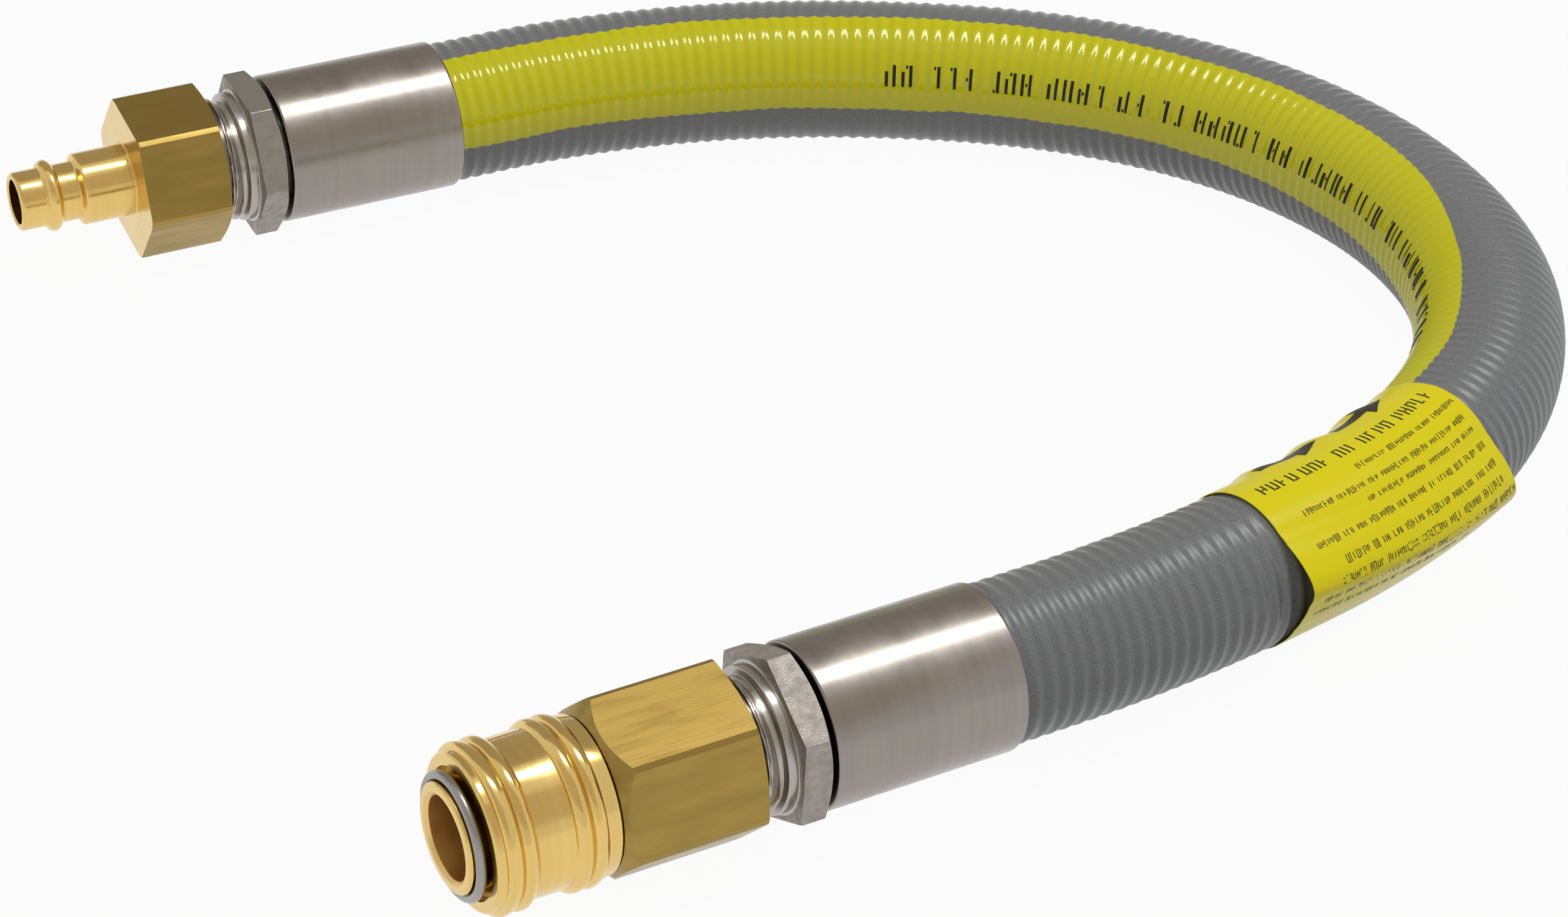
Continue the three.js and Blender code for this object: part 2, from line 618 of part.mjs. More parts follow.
const couplerHeight = standingHeight(COUPLER_HEX_TURN, COUPLER_NIPPLE_HEX_TURN);
const plugHeight = standingHeight(PLUG_HEX_TURN, PLUG_NIPPLE_HEX_TURN);
const couplerEnd = endFrame(COUPLER_MOUTH, couplerHeight, COUPLER_HEADING);
const plugEnd = endFrame(PLUG_TIP, plugHeight, PLUG_HEADING);

function onAxis(frame, along) {
  return new THREE.Vector3(along, 0, 0).applyMatrix4(frame.matrix);
}

// Middle lines of the hose: the stretch that shows, and the straight stretches in the ferrules
const couplerHoseStart = onAxis(couplerEnd, couplerNippleAt + ferruleEnd + FIT);
const plugHoseStart = onAxis(plugEnd, plugNippleAt + ferruleEnd + FIT);
const couplerInside = onAxis(couplerEnd, couplerNippleAt + hoseInside);
const plugInside = onAxis(plugEnd, plugNippleAt + hoseInside);

function between(a, b, shares) {
  return shares.map((share) => a.clone().lerp(b, share));
}

const shownPath = new THREE.CatmullRomCurve3([
  couplerHoseStart,
  onAxis(couplerEnd, couplerNippleAt + ferruleEnd + HOSE_STRAIGHT),
  ...HOSE_ROUTE.map((p) => new THREE.Vector3(...p)),
  onAxis(plugEnd, plugNippleAt + ferruleEnd + HOSE_STRAIGHT),
  plugHoseStart,
]);

function wholePath(extra) {
  const stretch = couplerHoseStart.distanceTo(couplerInside);
  const inside = [-extra / stretch, 0.25, 0.5, 0.75];
  return new THREE.CatmullRomCurve3([
    ...between(couplerInside, couplerHoseStart, inside),
    ...shownPath.points,
    ...between(plugInside, plugHoseStart, inside).reverse(),
  ]);
}

function cuff(inside, start) {
  const straight = new THREE.LineCurve3(inside, start.clone().lerp(inside, -0.02));
  return solid(sweep(roundShape(cuffR, 2 * HOSE_SIDES), straight, 1));
}

function hoseCover() {
  const shown = solid(sweep(roundShape(HOSE_OUTER_R, HOSE_SIDES), shownPath, HOSE_STEPS));
  const bore = solid(sweep(roundShape(coverBoreR, HOSE_SIDES), wholePath(CUT_MARGIN), LINER_STEPS));
  const outside = shown
    .add(cuff(couplerInside, couplerHoseStart))
    .add(cuff(plugInside, plugHoseStart));
  return geometryOf(outside.subtract(bore));
}

function hoseLiner() {
  const wall = roundShape(HOSE_BORE_R + LINER_WALL, HOSE_SIDES);
  wall.holes.push(roundShape(HOSE_BORE_R, HOSE_SIDES));
  return sweep(wall, wholePath(0), LINER_STEPS);
}

// A stretch of another curve, between two shares of its length
class Stretch extends THREE.Curve {
  constructor(curve, from, to) {
    super();
    Object.assign(this, { curve, from, to });
  }

  getPoint(t, target = new THREE.Vector3()) {
    return this.curve.getPointAt(THREE.MathUtils.lerp(this.from, this.to, t), target);
  }
}

// The label's section: round the hose, with a loose fold on its outer side and open below.
// An angle is measured up from the horizontal on the outer side of the bend.
function labelSection() {
  const at = (radius, degrees) => {
    const angle = THREE.MathUtils.degToRad(degrees);
    return new THREE.Vector2(-radius * Math.sin(angle), -radius * Math.cos(angle));
  };
  const innerR = HOSE_OUTER_R + LABEL_FIT;
  const leave = THREE.MathUtils.radToDeg(Math.acos(innerR / LABEL_CREASE_R));
  const line = (radius, creaseR) => {
    const points = [];
    const follow = (first, last) => {
      const arcs = Math.round((first - last) / 20);
      for (let i = 0; i <= arcs; i++) {
        points.push(at(radius, first + (i / arcs) * (last - first)));
      }
    };
    follow(180 + LABEL_EDGE_ANGLE, LABEL_CREASE_ANGLE + leave);
    points.push(at(creaseR - 0.6, LABEL_CREASE_ANGLE + 6));
    points.push(at(creaseR - 0.6, LABEL_CREASE_ANGLE - 6));
    follow(LABEL_CREASE_ANGLE - leave, -LABEL_EDGE_ANGLE);
    return points;
  };
  const outer = line(innerR + LABEL_THICKNESS, LABEL_CREASE_R + LABEL_THICKNESS);
  return new THREE.Shape([...outer, ...line(innerR, LABEL_CREASE_R).reverse()]);
}

function labelSheet() {
  const length = shownPath.getLength();
  const from = LABEL_START / length;
  const to = (LABEL_START + LABEL_LENGTH) / length;
  return sweep(labelSection(), new Stretch(shownPath, from, to), LABEL_STEPS);
}

function named(name, geometry, material) {
  const mesh = new THREE.Mesh(geometry, material);
  mesh.name = name;
  return mesh;
}

function balls() {
  return around(BALL_COUNT).map((place, i) => {
    const ball = named(`locking_ball_${i + 1}`, new THREE.SphereGeometry(BALL_R, 8, 6), springSteel());
    ball.position.set(0, ballR, 0).applyMatrix4(place);
    ball.position.x = BALL_AT;
    return ball;
  });
}

function hoseEnd(prefix, at, hexTurn) {
  const end = new THREE.Group();
  end.position.x = at;
  end.add(
    named(`${prefix}_nipple`, nipple(hexTurn), turnedSteel()),
    named(`${prefix}_ferrule`, ferrule(), turnedSteel()),
  );
  return end;
}

couplerEnd.add(
  named('coupler_front_body', couplerFrontBody(), polishedBrass()),
  named('coupler_sleeve', couplerSleeve(), polishedBrass()),
  named('retaining_ring', retainingRing(), springSteel()),
  ...balls(),
  named('sleeve_spring', sleeveSpring(), springSteel()),
  named('valve_plunger', valvePlunger(), polishedBrass()),
  named('valve_seal', valveSeal(), blackRubber()),
  named('plug_seal', plugSeal(), blackRubber()),
  named('valve_spring', valveSpring(), springSteel()),
  named('body_seal', bodySeal(), blackRubber()),
  named('coupler_rear_body', couplerRearBody(), barBrass()),
  hoseEnd('front', couplerNippleAt, COUPLER_NIPPLE_HEX_TURN),
);

plugEnd.add(
  named('plug_adapter', plugAdapter(), barBrass()),
  hoseEnd('rear', plugNippleAt, PLUG_NIPPLE_HEX_TURN),
);

const group = new THREE.Group();
group.add(
  couplerEnd,
  plugEnd,
  named('hose_cover', hoseCover(), greyPvc()),
  named('hose_liner', hoseLiner(), blackRubber()),
  named('label', labelSheet(), yellowFilm()),
);

export default group;
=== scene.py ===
"""The look of a short flexible gas hose, lying in a wide U on a pale table.

One end has a brass quick coupler, the other the brass plug for such a coupler. The hose is
ribbed grey PVC over a liner, with a yellow stripe on its inner side and a yellow film label.
Lengths are in millimetres until they reach Blender, which holds metres.
"""

import json
import logging
import math
import random
from dataclasses import dataclass, field
from enum import Enum
from typing import Callable, Iterable, Optional, Sequence, Union

import bpy
import numpy as np
from mathutils import Matrix, Vector

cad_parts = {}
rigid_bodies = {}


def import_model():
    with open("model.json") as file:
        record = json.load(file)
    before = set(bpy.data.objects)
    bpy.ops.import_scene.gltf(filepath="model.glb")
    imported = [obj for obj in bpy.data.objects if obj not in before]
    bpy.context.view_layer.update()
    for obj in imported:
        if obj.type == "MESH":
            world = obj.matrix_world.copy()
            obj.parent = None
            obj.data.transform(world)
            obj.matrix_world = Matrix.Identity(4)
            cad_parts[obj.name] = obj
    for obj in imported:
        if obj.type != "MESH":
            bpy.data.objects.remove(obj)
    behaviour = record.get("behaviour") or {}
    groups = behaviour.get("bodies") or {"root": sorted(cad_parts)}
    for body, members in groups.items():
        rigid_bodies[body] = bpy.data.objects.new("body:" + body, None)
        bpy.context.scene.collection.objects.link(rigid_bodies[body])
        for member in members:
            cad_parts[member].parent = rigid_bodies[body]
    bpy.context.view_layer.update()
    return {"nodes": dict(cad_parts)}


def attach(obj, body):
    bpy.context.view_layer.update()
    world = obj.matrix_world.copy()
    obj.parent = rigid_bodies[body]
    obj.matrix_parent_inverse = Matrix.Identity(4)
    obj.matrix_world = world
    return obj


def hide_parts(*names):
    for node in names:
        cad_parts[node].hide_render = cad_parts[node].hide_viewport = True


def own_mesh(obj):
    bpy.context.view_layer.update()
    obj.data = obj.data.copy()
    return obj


log = logging.getLogger("gas_hose")

MM = 0.001
MICRON = 1e-6

# Sides of a turned piece, steps of a hexagon's flat and of a rounding
ROUND_SIDES = 160
FLAT_STEPS = 18
FILLET_STEPS = 5
# An edge is sharp where the surface turns by more than this
SHARP_ANGLE = math.radians(27)

# All four hexagons, across their flats
ACROSS_FLATS = 24.0
# Places of the nipples' hexagons, from the coupler's mouth and from the plug's tip
COUPLER_NIPPLE_AT = 49.0
PLUG_NIPPLE_AT = 39.4
# From such a hexagon to its ferrule, and how the hose and its label lie in and past that
FERRULE_AFTER_NIPPLE = 5.3
FERRULE_LENGTH = 30.7
HOSE_IN_FERRULE = 2.0
HOSE_STRAIGHT = 5.0
LABEL_AFTER_FERRULE = 46.4

Point = tuple[float, float, float]
Input = Union[float, Sequence[float], bpy.types.Node, bpy.types.NodeSocket]


class Section(Enum):
    """What a turned outline's point follows as it goes round the axis."""

    ROUND = "round"
    HEX = "hex"
    THREAD = "thread"
    EDGE_OF_CONE_BEFORE = "where the cone from the point before meets the hexagon"
    EDGE_OF_CONE_AFTER = "where the cone to the point after meets the hexagon"


class End(Enum):
    """The hose's two ends, each with the place of its axis and its turn about +Z."""

    COUPLER = ((-46.4, -97.5, 13.804), 0.0)
    PLUG = ((-31.6, 98.5, 12.693), -4.365)

    def matrix(self) -> Matrix:
        """Returns the frame of this end: local +X runs from its mouth or tip to the hose."""
        place, heading = self.value
        turn = Matrix.Rotation(math.radians(heading), 4, "Z")
        return Matrix.Translation(Vector(place) * MM) @ turn

    def on_axis(self, along: float) -> Vector:
        """Returns the point of the axis that lies this many mm from the mouth or tip."""
        return self.matrix() @ Vector((along * MM, 0, 0))


CONE_NEIGHBOUR = {Section.EDGE_OF_CONE_BEFORE: -1, Section.EDGE_OF_CONE_AFTER: 1}


@dataclass(frozen=True)
class Hexagon:
    """A hexagon's cross-section about +X.

    Args:
        turn: a corner's angle above the horizontal on the -Y side, in degrees.
        corner_r: radius to which the corners are turned down.
        across: distance across the flats.
    """

    turn: float
    corner_r: float
    across: float = ACROSS_FLATS

    def radius(self, angle: float) -> float:
        """Returns the distance from the axis to the nearest flat.

        Args:
            angle: round the axis, in radians.

        Returns:
            The distance in mm.
        """
        sixth = math.pi / 3
        off = (angle - math.radians(self.turn)) % sixth - sixth / 2
        return self.across / 2 / math.cos(off)

    def angles(self) -> list[float]:
        """Returns the angles that meet every corner exactly, with even steps between."""
        half = math.acos(self.across / 2 / self.corner_r)
        found = []
        for side in range(6):
            middle = math.radians(self.turn + 30 + 60 * side)
            found += [middle - half + 2 * half * i / FLAT_STEPS
                      for i in range(FLAT_STEPS + 1)]
            found.append(middle + math.pi / 6)
        return found


@dataclass(frozen=True)
class Thread:
    """A pipe thread's ridge about +X, in mm.

    Args:
        major_r: radius of the crests.
        depth: from crest to root.
        pitch: from crest to crest.
        steepness: how fast the flanks fall, where 1 leaves no flat at the root.
        crest_flat: how much of that fall the flat crest takes up.
    """

    major_r: float = 10.48
    depth: float = 1.05
    pitch: float = 1.814
    steepness: float = 1.3
    crest_flat: float = 0.15

    def radius(self, x: float, angle: float) -> float:
        """Returns the thread's radius.

        Args:
            x: place along the axis in mm.
            angle: round the axis, in radians.

        Returns:
            The radius in mm.
        """
        share = (x / self.pitch - angle / (2 * math.pi)) % 1
        fall = self.steepness * abs(2 * share - 1) - self.crest_flat
        return self.major_r - self.depth * min(max(fall, 0), 1)


def bend(t: float, start: float, corner: float, end: float) -> float:
    """Returns one coordinate at share t of a curve from start to end, bent towards a corner."""
    return (1 - t) ** 2 * start + 2 * t * (1 - t) * corner + t * t * end


class Outline:
    """A closed outline to be turned about +X, drawn corner by corner in mm."""

    def __init__(self) -> None:
        """Starts without a corner."""
        self._corners: list[tuple[float, float, float, Section]] = []

    def to(self, x: float, r: float, fillet: float = 0, section: Section = Section.ROUND,
           steps: int = 1) -> None:
        """Adds a corner.

        Args:
            x: place along the axis.
            r: radius.
            fillet: how far from the corner its rounding starts.
            section: what the outline follows round the axis here.
            steps: stations on the straight line that leads here.
        """
        for i in range(1, steps):
            x0, r0, _, _ = self._corners[-1]
            share = 1 / (steps - i + 1)
            self._corners.append((x0 + (x - x0) * share, r0 + (r - r0) * share, 0, section))
        self._corners.append((x, r, fillet, section))

    def curve(self, cx: float, cr: float, x: float, r: float, steps: int = 7) -> None:
        """Adds a curve.

        Args:
            cx: place of the corner that it bends towards.
            cr: radius of that corner.
            x: place where it ends.
            r: radius where it ends.
            steps: the straight pieces it is made of.
        """
        x0, r0, _, _ = self._corners[-1]
        for i in range(1, steps + 1):
            self.to(bend(i / steps, x0, cx, x), bend(i / steps, r0, cr, r))

    def stations(self) -> list[tuple[float, float, Section]]:
        """Returns the outline's points with every rounding drawn out."""
        found = []
        for i, (x, r, fillet, section) in enumerate(self._corners):
            if fillet == 0:
                found.append((x, r, section))
                continue
            ends = []
            for other in (self._corners[i - 1], self._corners[(i + 1) % len(self._corners)]):
                dx, dr = other[0] - x, other[1] - r
                length = math.hypot(dx, dr)
                # Less than half of a short side, so that two roundings never meet on it
                reach = min(fillet, 0.49 * length) / length
                ends.append((x + dx * reach, r + dr * reach))
            (x0, r0), (x2, r2) = ends
            for k in range(FILLET_STEPS + 1):
                t = k / FILLET_STEPS
                found.append((bend(t, x0, x, x2), bend(t, r0, r, r2), section))
        return found


def add_object(name: str, data: bpy.types.ID) -> bpy.types.Object:
    """Adds an object that holds a mesh, a lamp or a camera to the scene.

    Args:
        name: the object's name.
        data: what it holds.

    Returns:
        The object.
    """
    obj = bpy.data.objects.new(name, data)
    bpy.context.scene.collection.objects.link(obj)
    return obj


def add_mesh(name: str, vertices: Sequence[Point],
             faces: Sequence[Sequence[int]]) -> bpy.types.Object:
    """Adds an object with a new mesh to the scene.

    Args:
        name: the object's name.
        vertices: its points in metres.
        faces: its faces, by the points' numbers.

    Returns:
        The object.
    """
    mesh = bpy.data.meshes.new(name)
    mesh.from_pydata(vertices, [], faces)
    return add_object(name, mesh)


def smooth(obj: bpy.types.Object) -> None:
    """Shades an object smooth between its sharp edges."""
    obj.data.shade_smooth()
    obj.data.set_sharp_from_angle(angle=SHARP_ANGLE)


def add_grid(name: str, rows: list[list[Point]], closed_rows: bool, closed_columns: bool,
             uvs: Optional[Callable[[int, int], tuple[float, float]]] = None,
             caps: Sequence[Sequence[int]] = ()) -> bpy.types.Object:
    """Makes a smooth mesh of quads over a grid of points in metres.

    Args:
        name: the object's name.
        rows: the points, row by row, all rows of one length.
        closed_rows: each row's last point joins its first.
        closed_columns: the last row joins the first.
        uvs: gives the map coordinates of (row, column), which may be one past the last.
        caps: faces that close its open ends, by the points' numbers.

    Returns:
        The object.
    """
    high, wide = len(rows), len(rows[0])
    faces, corners = [], []
    for i in range(high if closed_columns else high - 1):
        for j in range(wide if closed_rows else wide - 1):
            cell = ((i, j), (i, j + 1), (i + 1, j + 1), (i + 1, j))
            faces.append([(a % high) * wide + b % wide for a, b in cell])
            corners.extend(cell)
    obj = add_mesh(name, [p for row in rows for p in row], [*faces, *caps])
    if uvs:
        layer = obj.data.uv_layers.new(name="map")
        for loop, (i, j) in zip(layer.data, corners):
            loop.uv = uvs(i, j)
    smooth(obj)
    return obj


def turned(name: str, outline: Outline, end: End, hexagon: Optional[Hexagon] = None,
           at: float = 0, thread: Optional[Thread] = None) -> bpy.types.Object:
    """Turns an outline about an end's axis.

    Args:
        name: the object's name.
        outline: the closed outline, drawn along +X on the outside and back on the inside.
        end: the end of the hose that it belongs to.
        hexagon: cuts the points that follow a hexagon.
        at: where the outline's own zero lies on the end's axis.
        thread: shapes the points that follow a thread.

    Returns:
        The object.
    """
    angles = hexagon.angles() if hexagon else [
        2 * math.pi * i / ROUND_SIDES for i in range(ROUND_SIDES)]
    rows = []
    stations = outline.stations()
    for i, (x, r, section) in enumerate(stations):
        row = []
        for angle in angles:
            place, reach = x, r
            if section is Section.HEX and hexagon:
                reach = min(r, hexagon.radius(angle))
            if section is Section.THREAD and thread:
                reach = min(r, thread.radius(x, angle))
            if section in CONE_NEIGHBOUR and hexagon:
                x0, r0, _ = stations[i + CONE_NEIGHBOUR[section]]
                share = min((hexagon.radius(angle) - r0) / (r - r0), 1)
                place, reach = x0 + (x - x0) * share, r0 + (r - r0) * share
            row.append(((place + at) * MM, -reach * math.cos(angle) * MM,
                        reach * math.sin(angle) * MM))
        rows.append(row)
    obj = add_grid(name, rows, True, True)
    obj.matrix_world = end.matrix()
    return obj


def stand_for(obj: bpy.types.Object, node: str, body: str,
              material: bpy.types.Material) -> None:
    """Shows an object in place of a CAD node.

    Args:
        obj: the object.
        node: the CAD node that it replaces.
        body: the body that it moves with.
        material: its finish.
    """
    obj.name = f"{node}_surface"
    obj.data.materials.clear()
    obj.data.materials.append(material)
    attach(obj, body)
    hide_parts(node)


def refinish(obj: bpy.types.Object, material: bpy.types.Material,
             chosen: Callable[[Vector, Vector], bool]) -> None:
    """Gives some faces of a piece a second finish.

    Args:
        obj: the piece.
        material: the second finish.
        chosen: says whether a face takes it, from its middle in mm and its normal.
    """
    obj.data.materials.append(material)
    for face in obj.data.polygons:
        if chosen(face.center / MM, face.normal):
            face.material_index = 1


def linear(hex_colour: str) -> tuple[float, float, float, float]:
    """Returns the linear colour of an sRGB hex string."""
    channels = [int(hex_colour[i:i + 2], 16) / 255 for i in (1, 3, 5)]
    return (*[c / 12.92 if c <= 0.04045 else ((c + 0.055) / 1.055) ** 2.4 for c in channels], 1.0)


class Graph:
    """The shader nodes of one material or world."""

    def __init__(self, owner: Union[bpy.types.Material, bpy.types.World]) -> None:
        """Empties the owner's node tree.

        Args:
            owner: the material or world.
        """
        self.owner = owner
        owner.use_nodes = True
        owner.node_tree.nodes.clear()

    def add(self, kind: str, settings: Optional[dict[str, Union[str, bool]]] = None,
            **inputs: Input) -> bpy.types.Node:
        """Adds a node with its settings and links.

        Args:
            kind: the node's type name without the ShaderNode that it starts with.
            settings: its properties.
            inputs: a value, a socket, or a node whose first output is linked. Each is named
                for its input, with _ for a space, or is i and the input's number.

        Returns:
            The node.
        """
        node = self.owner.node_tree.nodes.new(f"ShaderNode{kind}")
        for key, value in (settings or {}).items():
            setattr(node, key, value)
        for key, value in inputs.items():
            numbered = key[0] == "i" and key[1:].isdigit()
            socket = node.inputs[int(key[1:]) if numbered else key.replace("_", " ")]
            if isinstance(value, bpy.types.Node):
                value = value.outputs[0]
            if isinstance(value, bpy.types.NodeSocket):
                self.owner.node_tree.links.new(value, socket)
            else:
                socket.default_value = value
        return node


ADD = {"operation": "ADD"}
MULTIPLY = {"operation": "MULTIPLY"}
MAXIMUM = {"operation": "MAXIMUM"}
MIX_COLOURS = {"data_type": "RGBA"}
# The part of a noise's values that a pattern uses: most of them lie between these
MOST = {"From_Min": 0.35, "From_Max": 0.7}


def lathe_place(g: Graph, place: bpy.types.NodeSocket) -> bpy.types.Node:
    """Turns a place into one that stays the same all round a turned face.

    Args:
        g: the material's nodes.
        place: the object's own coordinates in metres.

    Returns:
        The node that gives (place along the axis, radius, 0).
    """
    split = g.add("SeparateXYZ", Vector=place)
    squares = [g.add("Math", MULTIPLY, i0=split.outputs[k], i1=split.outputs[k]) for k in (1, 2)]
    total = g.add("Math", ADD, i0=squares[0], i1=squares[1])
    radius = g.add("Math", {"operation": "SQRT"}, i0=total)
    return g.add("CombineXYZ", X=split.outputs[0], Y=radius)


def seen_white(g: Graph) -> bpy.types.Node:
    """Makes a node that is 1 where the camera, metal or glass looks, and 0 for light.

    Args:
        g: the nodes that it joins.

    Returns:
        The node.
    """
    path = g.add("LightPath").outputs
    seen = g.add("Math", MAXIMUM, i0=path["Is Camera Ray"], i1=path["Is Glossy Ray"])
    return g.add("Math", MAXIMUM, i0=seen, i1=path["Is Transmission Ray"])


@dataclass(frozen=True)
class TurnedMetal:
    """Metal turned on a lathe and left or polished: fine rings round the axis.

    Args:
        name: the material's name.
        colour: sRGB colour of the metal's reflection.
        roughness: from a mirror at 0 to dull at 1.
        ring_depth: depth of the turning marks in micrometres.
        smudge: how much handling marks add to the roughness.
        anisotropic: how far highlights are drawn along the axis by the rings.
        rings: feed marks a mm. Real ones lie 0.1 mm apart or less, so they are drawn coarser.
        waves: wider rings a mm, where the tool or the cloth pressed harder.
        marks: finger marks and wiped patches a mm.
    """

    name: str
    colour: str
    roughness: float
    ring_depth: float
    smudge: float = 0.1
    anisotropic: float = 0.0
    rings: float = 5.2
    waves: float = 0.9
    marks: float = 0.13

    def material(self) -> bpy.types.Material:
        """Returns the finish as a material."""
        g = Graph(bpy.data.materials.new(self.name))
        place = g.add("TexCoord").outputs["Object"]
        lathe = lathe_place(g, place)
        rings = g.add("TexNoise", Vector=lathe, Scale=self.rings / MM, Detail=2.0)
        waves = g.add("TexNoise", Vector=lathe, Scale=self.waves / MM, Detail=1.0)
        marks = g.add("TexNoise", Vector=place, Scale=self.marks / MM, Detail=4.0)
        rough = g.add("MapRange", Value=marks, **MOST, To_Min=self.roughness,
                      To_Max=self.roughness + self.smudge)
        height = g.add("Math", ADD, i0=rings, i1=g.add("Math", MULTIPLY, i0=waves, i1=1.5))
        normal = g.add("Bump", Height=height, Distance=self.ring_depth * MICRON)
        tone = g.add("MapRange", Value=waves, From_Min=0.3, From_Max=0.7, To_Min=0.93, To_Max=1.0)
        colour = g.add("VectorMath", {"operation": "SCALE"}, i0=linear(self.colour)[:3],
                       Scale=tone)
        tangent = g.add("Tangent", {"direction_type": "RADIAL", "axis": "X"})
        shader = g.add("BsdfPrincipled", Base_Color=colour, Metallic=1.0, Roughness=rough,
                       Normal=normal, Anisotropic=self.anisotropic, Tangent=tangent)
        g.add("OutputMaterial", Surface=shader)
        return g.owner


@dataclass(frozen=True)
class DrawnBar:
    """Drawn bar stock: fine lines along the axis, small knocks and a satin shine.

    Patterns are features a mm along and across the bar.

    Args:
        name: the material's name.
        colour: sRGB colour of clean metal.
        dull: sRGB colour of the tarnished patches.
        roughness: of the clean metal.
        grain: depth of the pitted grain in micrometres.
        lines: depth of the drawing lines in micrometres.
        patches: tarnished patches.
        drawn: drawing lines, 25 mm long. Real ones are finer than 0.1 mm, so these are coarser.
        knocks: dents of a mm or so from the tool box.
        grains: pits a mm, of 0.24 mm.
        tarnish: how much the patches add to the roughness.
        knock_depth: of the dents, in micrometres.
    """

    name: str
    colour: str
    dull: str
    roughness: float
    grain: float
    lines: float
    patches: Point
    drawn: Point = (0.04, 2.6, 2.6)
    knocks: Point = (0.9, 0.3, 2.2)
    grains: float = 4.2
    tarnish: float = 0.16
    knock_depth: float = 3.0

    def material(self) -> bpy.types.Material:
        """Returns the finish as a material."""
        g = Graph(bpy.data.materials.new(self.name))
        place = g.add("TexCoord").outputs["Object"]
        noises = []
        for counts, detail in ((self.drawn, 3.0), (self.patches, 5.0), (self.knocks, 2.0)):
            along = g.add("VectorMath", MULTIPLY, i0=place, i1=[count / MM for count in counts])
            noises.append(g.add("TexNoise", Vector=along, Scale=1.0, Detail=detail))
        drawn, patches, knocks = noises
        grain = g.add("TexNoise", Vector=place, Scale=self.grains / MM, Detail=3.0)
        knock = g.add("MapRange", Value=knocks, From_Min=0.7, From_Max=0.76)
        share = g.add("MapRange", Value=patches, **MOST, To_Max=0.5)
        colour = g.add("Mix", MIX_COLOURS, i0=share, i6=linear(self.colour),
                       i7=linear(self.dull)).outputs[2]
        rough = g.add("MapRange", Value=patches, **MOST, To_Min=self.roughness,
                      To_Max=self.roughness + self.tarnish)
        fine = g.add("Bump", Height=grain, Distance=self.grain * MICRON)
        line = g.add("Bump", Height=drawn, Distance=self.lines * MICRON, Normal=fine)
        normal = g.add("Bump", Height=knock, Distance=-self.knock_depth * MICRON, Strength=0.6,
                       Normal=line)
        shader = g.add("BsdfPrincipled", Base_Color=colour, Metallic=1.0, Roughness=rough,
                       Normal=normal)
        g.add("OutputMaterial", Surface=shader)
        return g.owner


@dataclass(frozen=True)
class Rubber:
    """Moulded nitrile rubber, matte and nearly black, with a grain of 0.4 mm from the mould."""

    name: str = "moulded_black_rubber"
    colour: str = "#1d1d1f"
    roughness: float = 0.65
    grains: float = 2.5

    def material(self) -> bpy.types.Material:
        """Returns the finish as a material."""
        g = Graph(bpy.data.materials.new(self.name))
        place = g.add("TexCoord").outputs["Object"]
        grain = g.add("TexNoise", Vector=place, Scale=self.grains / MM, Detail=3.0)
        normal = g.add("Bump", Height=grain, Distance=4 * MICRON)
        shader = g.add("BsdfPrincipled", Base_Color=linear(self.colour), Normal=normal,
                       Roughness=self.roughness, IOR=1.52)
        g.add("OutputMaterial", Surface=shader)
        return g.owner


@dataclass(frozen=True)
class HosePvc:
    """Extruded soft PVC: grey with a yellow stripe whose skin is glossier.

    The map's first coordinate is the length along the hose in metres, its second the turn
    round it, where 0 is level on the outer side of the bend and 0.25 is the top.

    Args:
        name: the material's name.
        grey: sRGB colour of the cover's darker specks.
        grey_light: sRGB colour of its lighter specks.
        yellow: sRGB colour of the stripe.
        stripe: turns where the stripe starts and ends.
        edge: half the soft edge of the stripe, in turns.
        wander: how far the edge strays, in turns.
        strays: such strays a mm, one in 17 mm.
        specks: specks a mm, of 0.29 mm: the real bloom is finer, so it is drawn coarser.
        roughness: of the grey and of the stripe.
    """

    name: str = "extruded_grey_pvc_with_stripe"
    grey: str = "#6f7274"
    grey_light: str = "#808386"
    yellow: str = "#d3d000"
    stripe: tuple[float, float] = (103 / 360, 187 / 360)
    edge: float = 0.0015
    wander: float = 0.004
    strays: float = 0.06
    specks: float = 3.5
    roughness: tuple[float, float] = (0.32, 0.1)

    def material(self) -> bpy.types.Material:
        """Returns the finish as a material."""
        g = Graph(bpy.data.materials.new(self.name))
        place = g.add("TexCoord").outputs["Object"]
        turn = g.add("SeparateXYZ", Vector=g.add("UVMap", {"uv_map": "map"})).outputs[1]
        stray = g.add("TexNoise", Vector=place, Scale=self.strays / MM, Detail=3.0)
        wander = g.add("MapRange", Value=stray, From_Min=0.3, From_Max=0.7, To_Min=-self.wander,
                       To_Max=self.wander)
        turn = g.add("Math", ADD, i0=turn, i1=wander)
        sides = [g.add("MapRange", Value=turn, From_Min=side - self.edge,
                       From_Max=side + self.edge, To_Min=before, To_Max=1 - before)
                 for side, before in zip(self.stripe, (0.0, 1.0))]
        stripe = g.add("Math", {**MULTIPLY, "use_clamp": True}, i0=sides[0], i1=sides[1])
        speck = g.add("TexNoise", Vector=place, Scale=self.specks / MM, Detail=2.0)
        grey = g.add("Mix", MIX_COLOURS, i0=g.add("MapRange", Value=speck, **MOST),
                     i6=linear(self.grey), i7=linear(self.grey_light)).outputs[2]
        colour = g.add("Mix", MIX_COLOURS, i0=stripe, i6=grey, i7=linear(self.yellow)).outputs[2]
        rough = g.add("MapRange", Value=stripe, To_Min=self.roughness[0],
                      To_Max=self.roughness[1])
        normal = g.add("Bump", Height=speck, Distance=5 * MICRON)
        shader = g.add("BsdfPrincipled", Base_Color=colour, Roughness=rough, Normal=normal,
                       IOR=1.53, Specular_IOR_Level=0.4)
        g.add("OutputMaterial", Surface=shader)
        return g.owner


